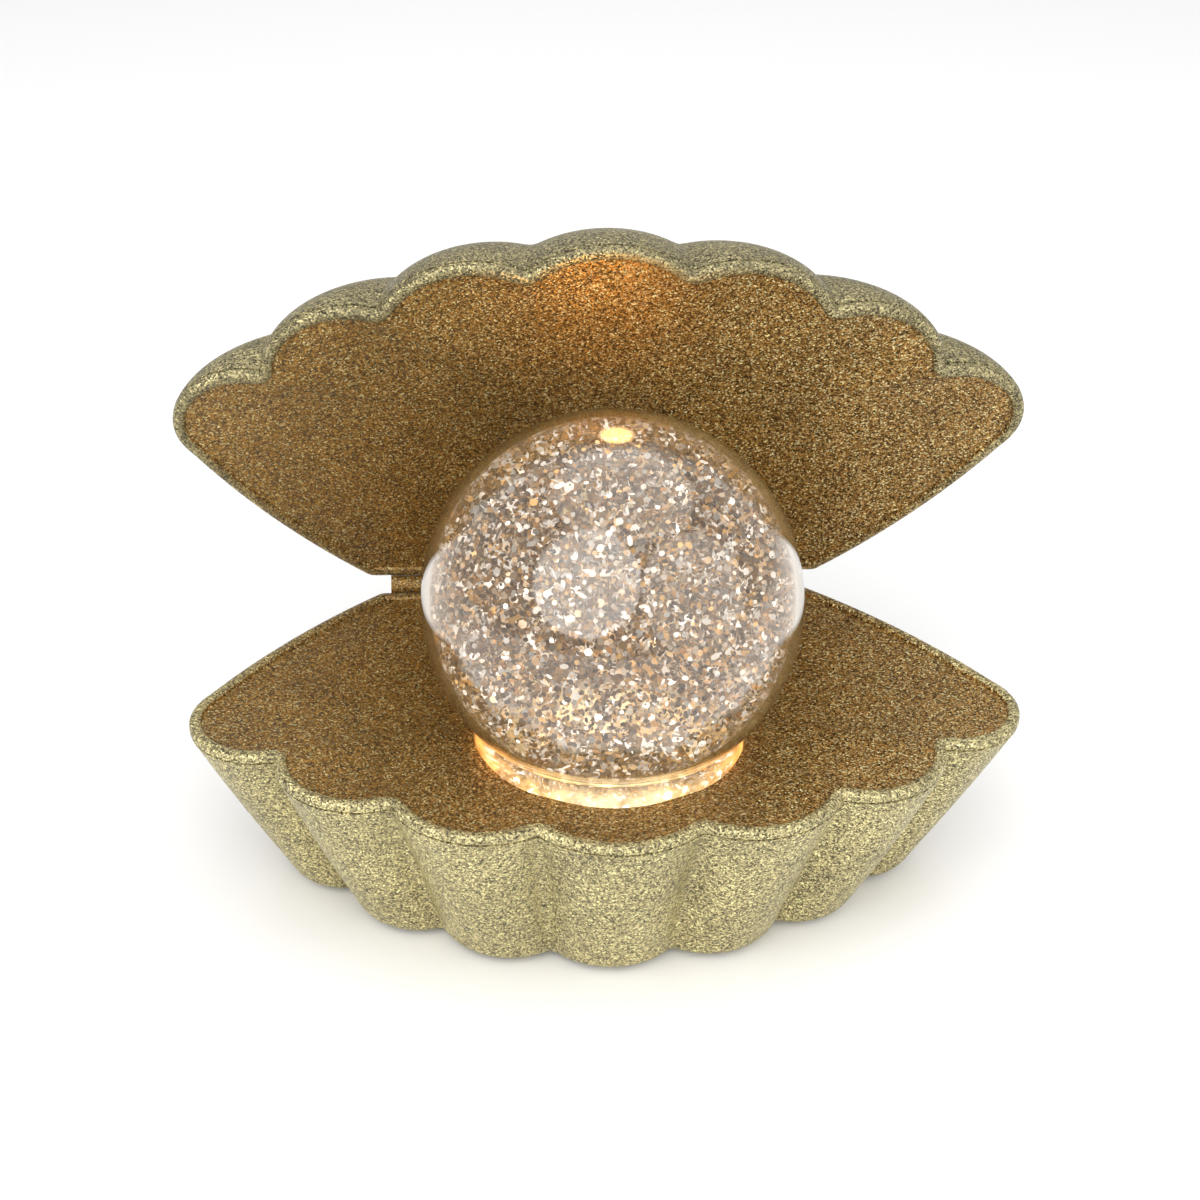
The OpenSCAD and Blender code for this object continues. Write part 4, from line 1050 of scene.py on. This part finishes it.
def aim(thing, place, target):
    """Puts a lamp at a place, in metres, with its beam on the target."""
    thing.location = place
    way = np.array(target) - np.array(place)
    flat = math.hypot(way[0], way[1])
    thing.rotation_euler = (math.atan2(flat, -way[2]), 0, math.atan2(way[1], way[0]) - math.pi / 2)


def softbox(name, place, target, size, power, tone=(1, 1, 1)):
    lamp = bpy.data.lights.new(name, "AREA")
    lamp.shape, lamp.size, lamp.energy, lamp.color = "DISK", size, power, tone
    thing = bpy.data.objects.new(name, lamp)
    bpy.context.scene.collection.objects.link(thing)
    aim(thing, place, target)
    return thing


def camera_at(azimuth, elevation, roll, distance, target):
    """A camera round the target: its axes are right, up and back, turned by the roll."""
    a, e, r = (math.radians(v) for v in (azimuth, elevation, roll))
    back = np.array([math.sin(a) * math.cos(e), -math.cos(a) * math.cos(e), math.sin(e)])
    right = np.cross([0, 0, 1], back)
    right /= np.linalg.norm(right)
    up = np.cross(back, right)
    axes = np.stack([math.cos(r) * right + math.sin(r) * up, math.cos(r) * up - math.sin(r) * right, back], 1)
    place = np.eye(4)
    place[:3, :3], place[:3, 3] = axes, target + back * distance
    return place


class LAMP_OT_stage(bpy.types.Operator):
    """Pale floor, soft lights, the lamp's own glow and the camera"""
    bl_idname = "lamp.stage"
    bl_label = "Studio"

    def execute(self, context):
        scene = context.scene
        disc = [(0, 0), (0.3, 0), (0.6, 0), (1.2, 0), (3, 0), (3, -0.02), (0, -0.02)]
        floor = mesh_object("studio_floor", turned(np.array(disc) / MM, steps=128))
        cloth = Coat("studio_floor")
        pale = tuple(colours().floor)
        tone = cloth.ramp(cloth.noise(0.4), [(0.3, tint(pale, 0.99)), (0.7, pale)])
        cloth.set(base_color=tone, roughness=0.9)
        floor.data.materials.append(cloth.material)
        centre = np.array([0, 0, 0.08])
        softbox("key_light", (-0.45, -1.0, 0.95), centre, 1.7, 18)
        softbox("fill_light", (0.95, -0.75, 0.6), centre, 1.7, 8)
        softbox("top_light", (0.1, 0.15, 1.3), centre, 1.7, 8)
        glow = bpy.data.lights.new("lid_glow", "SPOT")
        glow.energy, glow.color, glow.spot_size, glow.spot_blend = 0.075, tuple(colours().amber), 1.9, 1.0
        glow.shadow_soft_size = 0.006
        spot = bpy.data.objects.new("lid_glow", glow)
        scene.collection.objects.link(spot)
        top = GLOBE_AT * MM + np.array([0, 0, GLOBE_R * MM + 0.004])
        aim(spot, top, np.array([0, HINGE[1] - 38, HINGE[2] + 106]) * MM)
        sky = scene.world or bpy.data.worlds.new("studio")
        scene.world = sky
        sky.use_nodes = True
        back = sky.node_tree.nodes["Background"]
        back.inputs["Color"].default_value = (1, 1, 1, 1)
        back.inputs["Strength"].default_value = 0.62
        view = bpy.data.cameras.new("camera")
        view.sensor_width, view.lens = 36, LENS
        view.shift_x, view.shift_y = VIEW_SHIFT
        view.clip_start, view.clip_end = 0.01, 20
        target = (HINGE - [0, 0, mm("gap")]) * MM
        eye = bpy.data.objects.new("camera", view)
        scene.collection.objects.link(eye)
        place = camera_at(*VIEW, target)
        eye.matrix_world = [list(column) for column in place.T]
        scene.camera = eye
        scene.view_settings.view_transform = "Standard"
        return {"FINISHED"}


class LAMP_PT_panel(bpy.types.Panel):
    """Lists the pieces of the lamp and its settings"""
    bl_idname = "LAMP_PT_panel"
    bl_label = "Clam-shell lamp"
    bl_space_type = "VIEW_3D"
    bl_region_type = "UI"
    bl_category = "Lamp"

    def draw(self, context):
        for step in STEPS:
            self.layout.operator(step.bl_idname)
        for group in (context.scene.lamp_sizes, context.scene.lamp_colours):
            column = self.layout.column()
            for name in group.__annotations__:
                column.prop(group, name)


STEPS = (LAMP_OT_casing, LAMP_OT_deck, LAMP_OT_lid, LAMP_OT_liner, LAMP_OT_globe, LAMP_OT_flakes,
         LAMP_OT_fittings, LAMP_OT_stage)
GROUPS = (LampSizes, LampColours)


def register():
    for item in GROUPS + STEPS + (LAMP_PT_panel,):
        bpy.utils.register_class(item)
    bpy.types.Scene.lamp_sizes = bpy.props.PointerProperty(type=LampSizes)
    bpy.types.Scene.lamp_colours = bpy.props.PointerProperty(type=LampColours)


def unregister():
    del bpy.types.Scene.lamp_sizes, bpy.types.Scene.lamp_colours
    for item in reversed(GROUPS + STEPS + (LAMP_PT_panel,)):
        bpy.utils.unregister_class(item)


def main():
    register()
    for step in STEPS:
        group, name = step.bl_idname.split(".")
        getattr(getattr(bpy.ops, group), name)()
    bpy.context.view_layer.update()


if __name__ == "__main__":
    main()
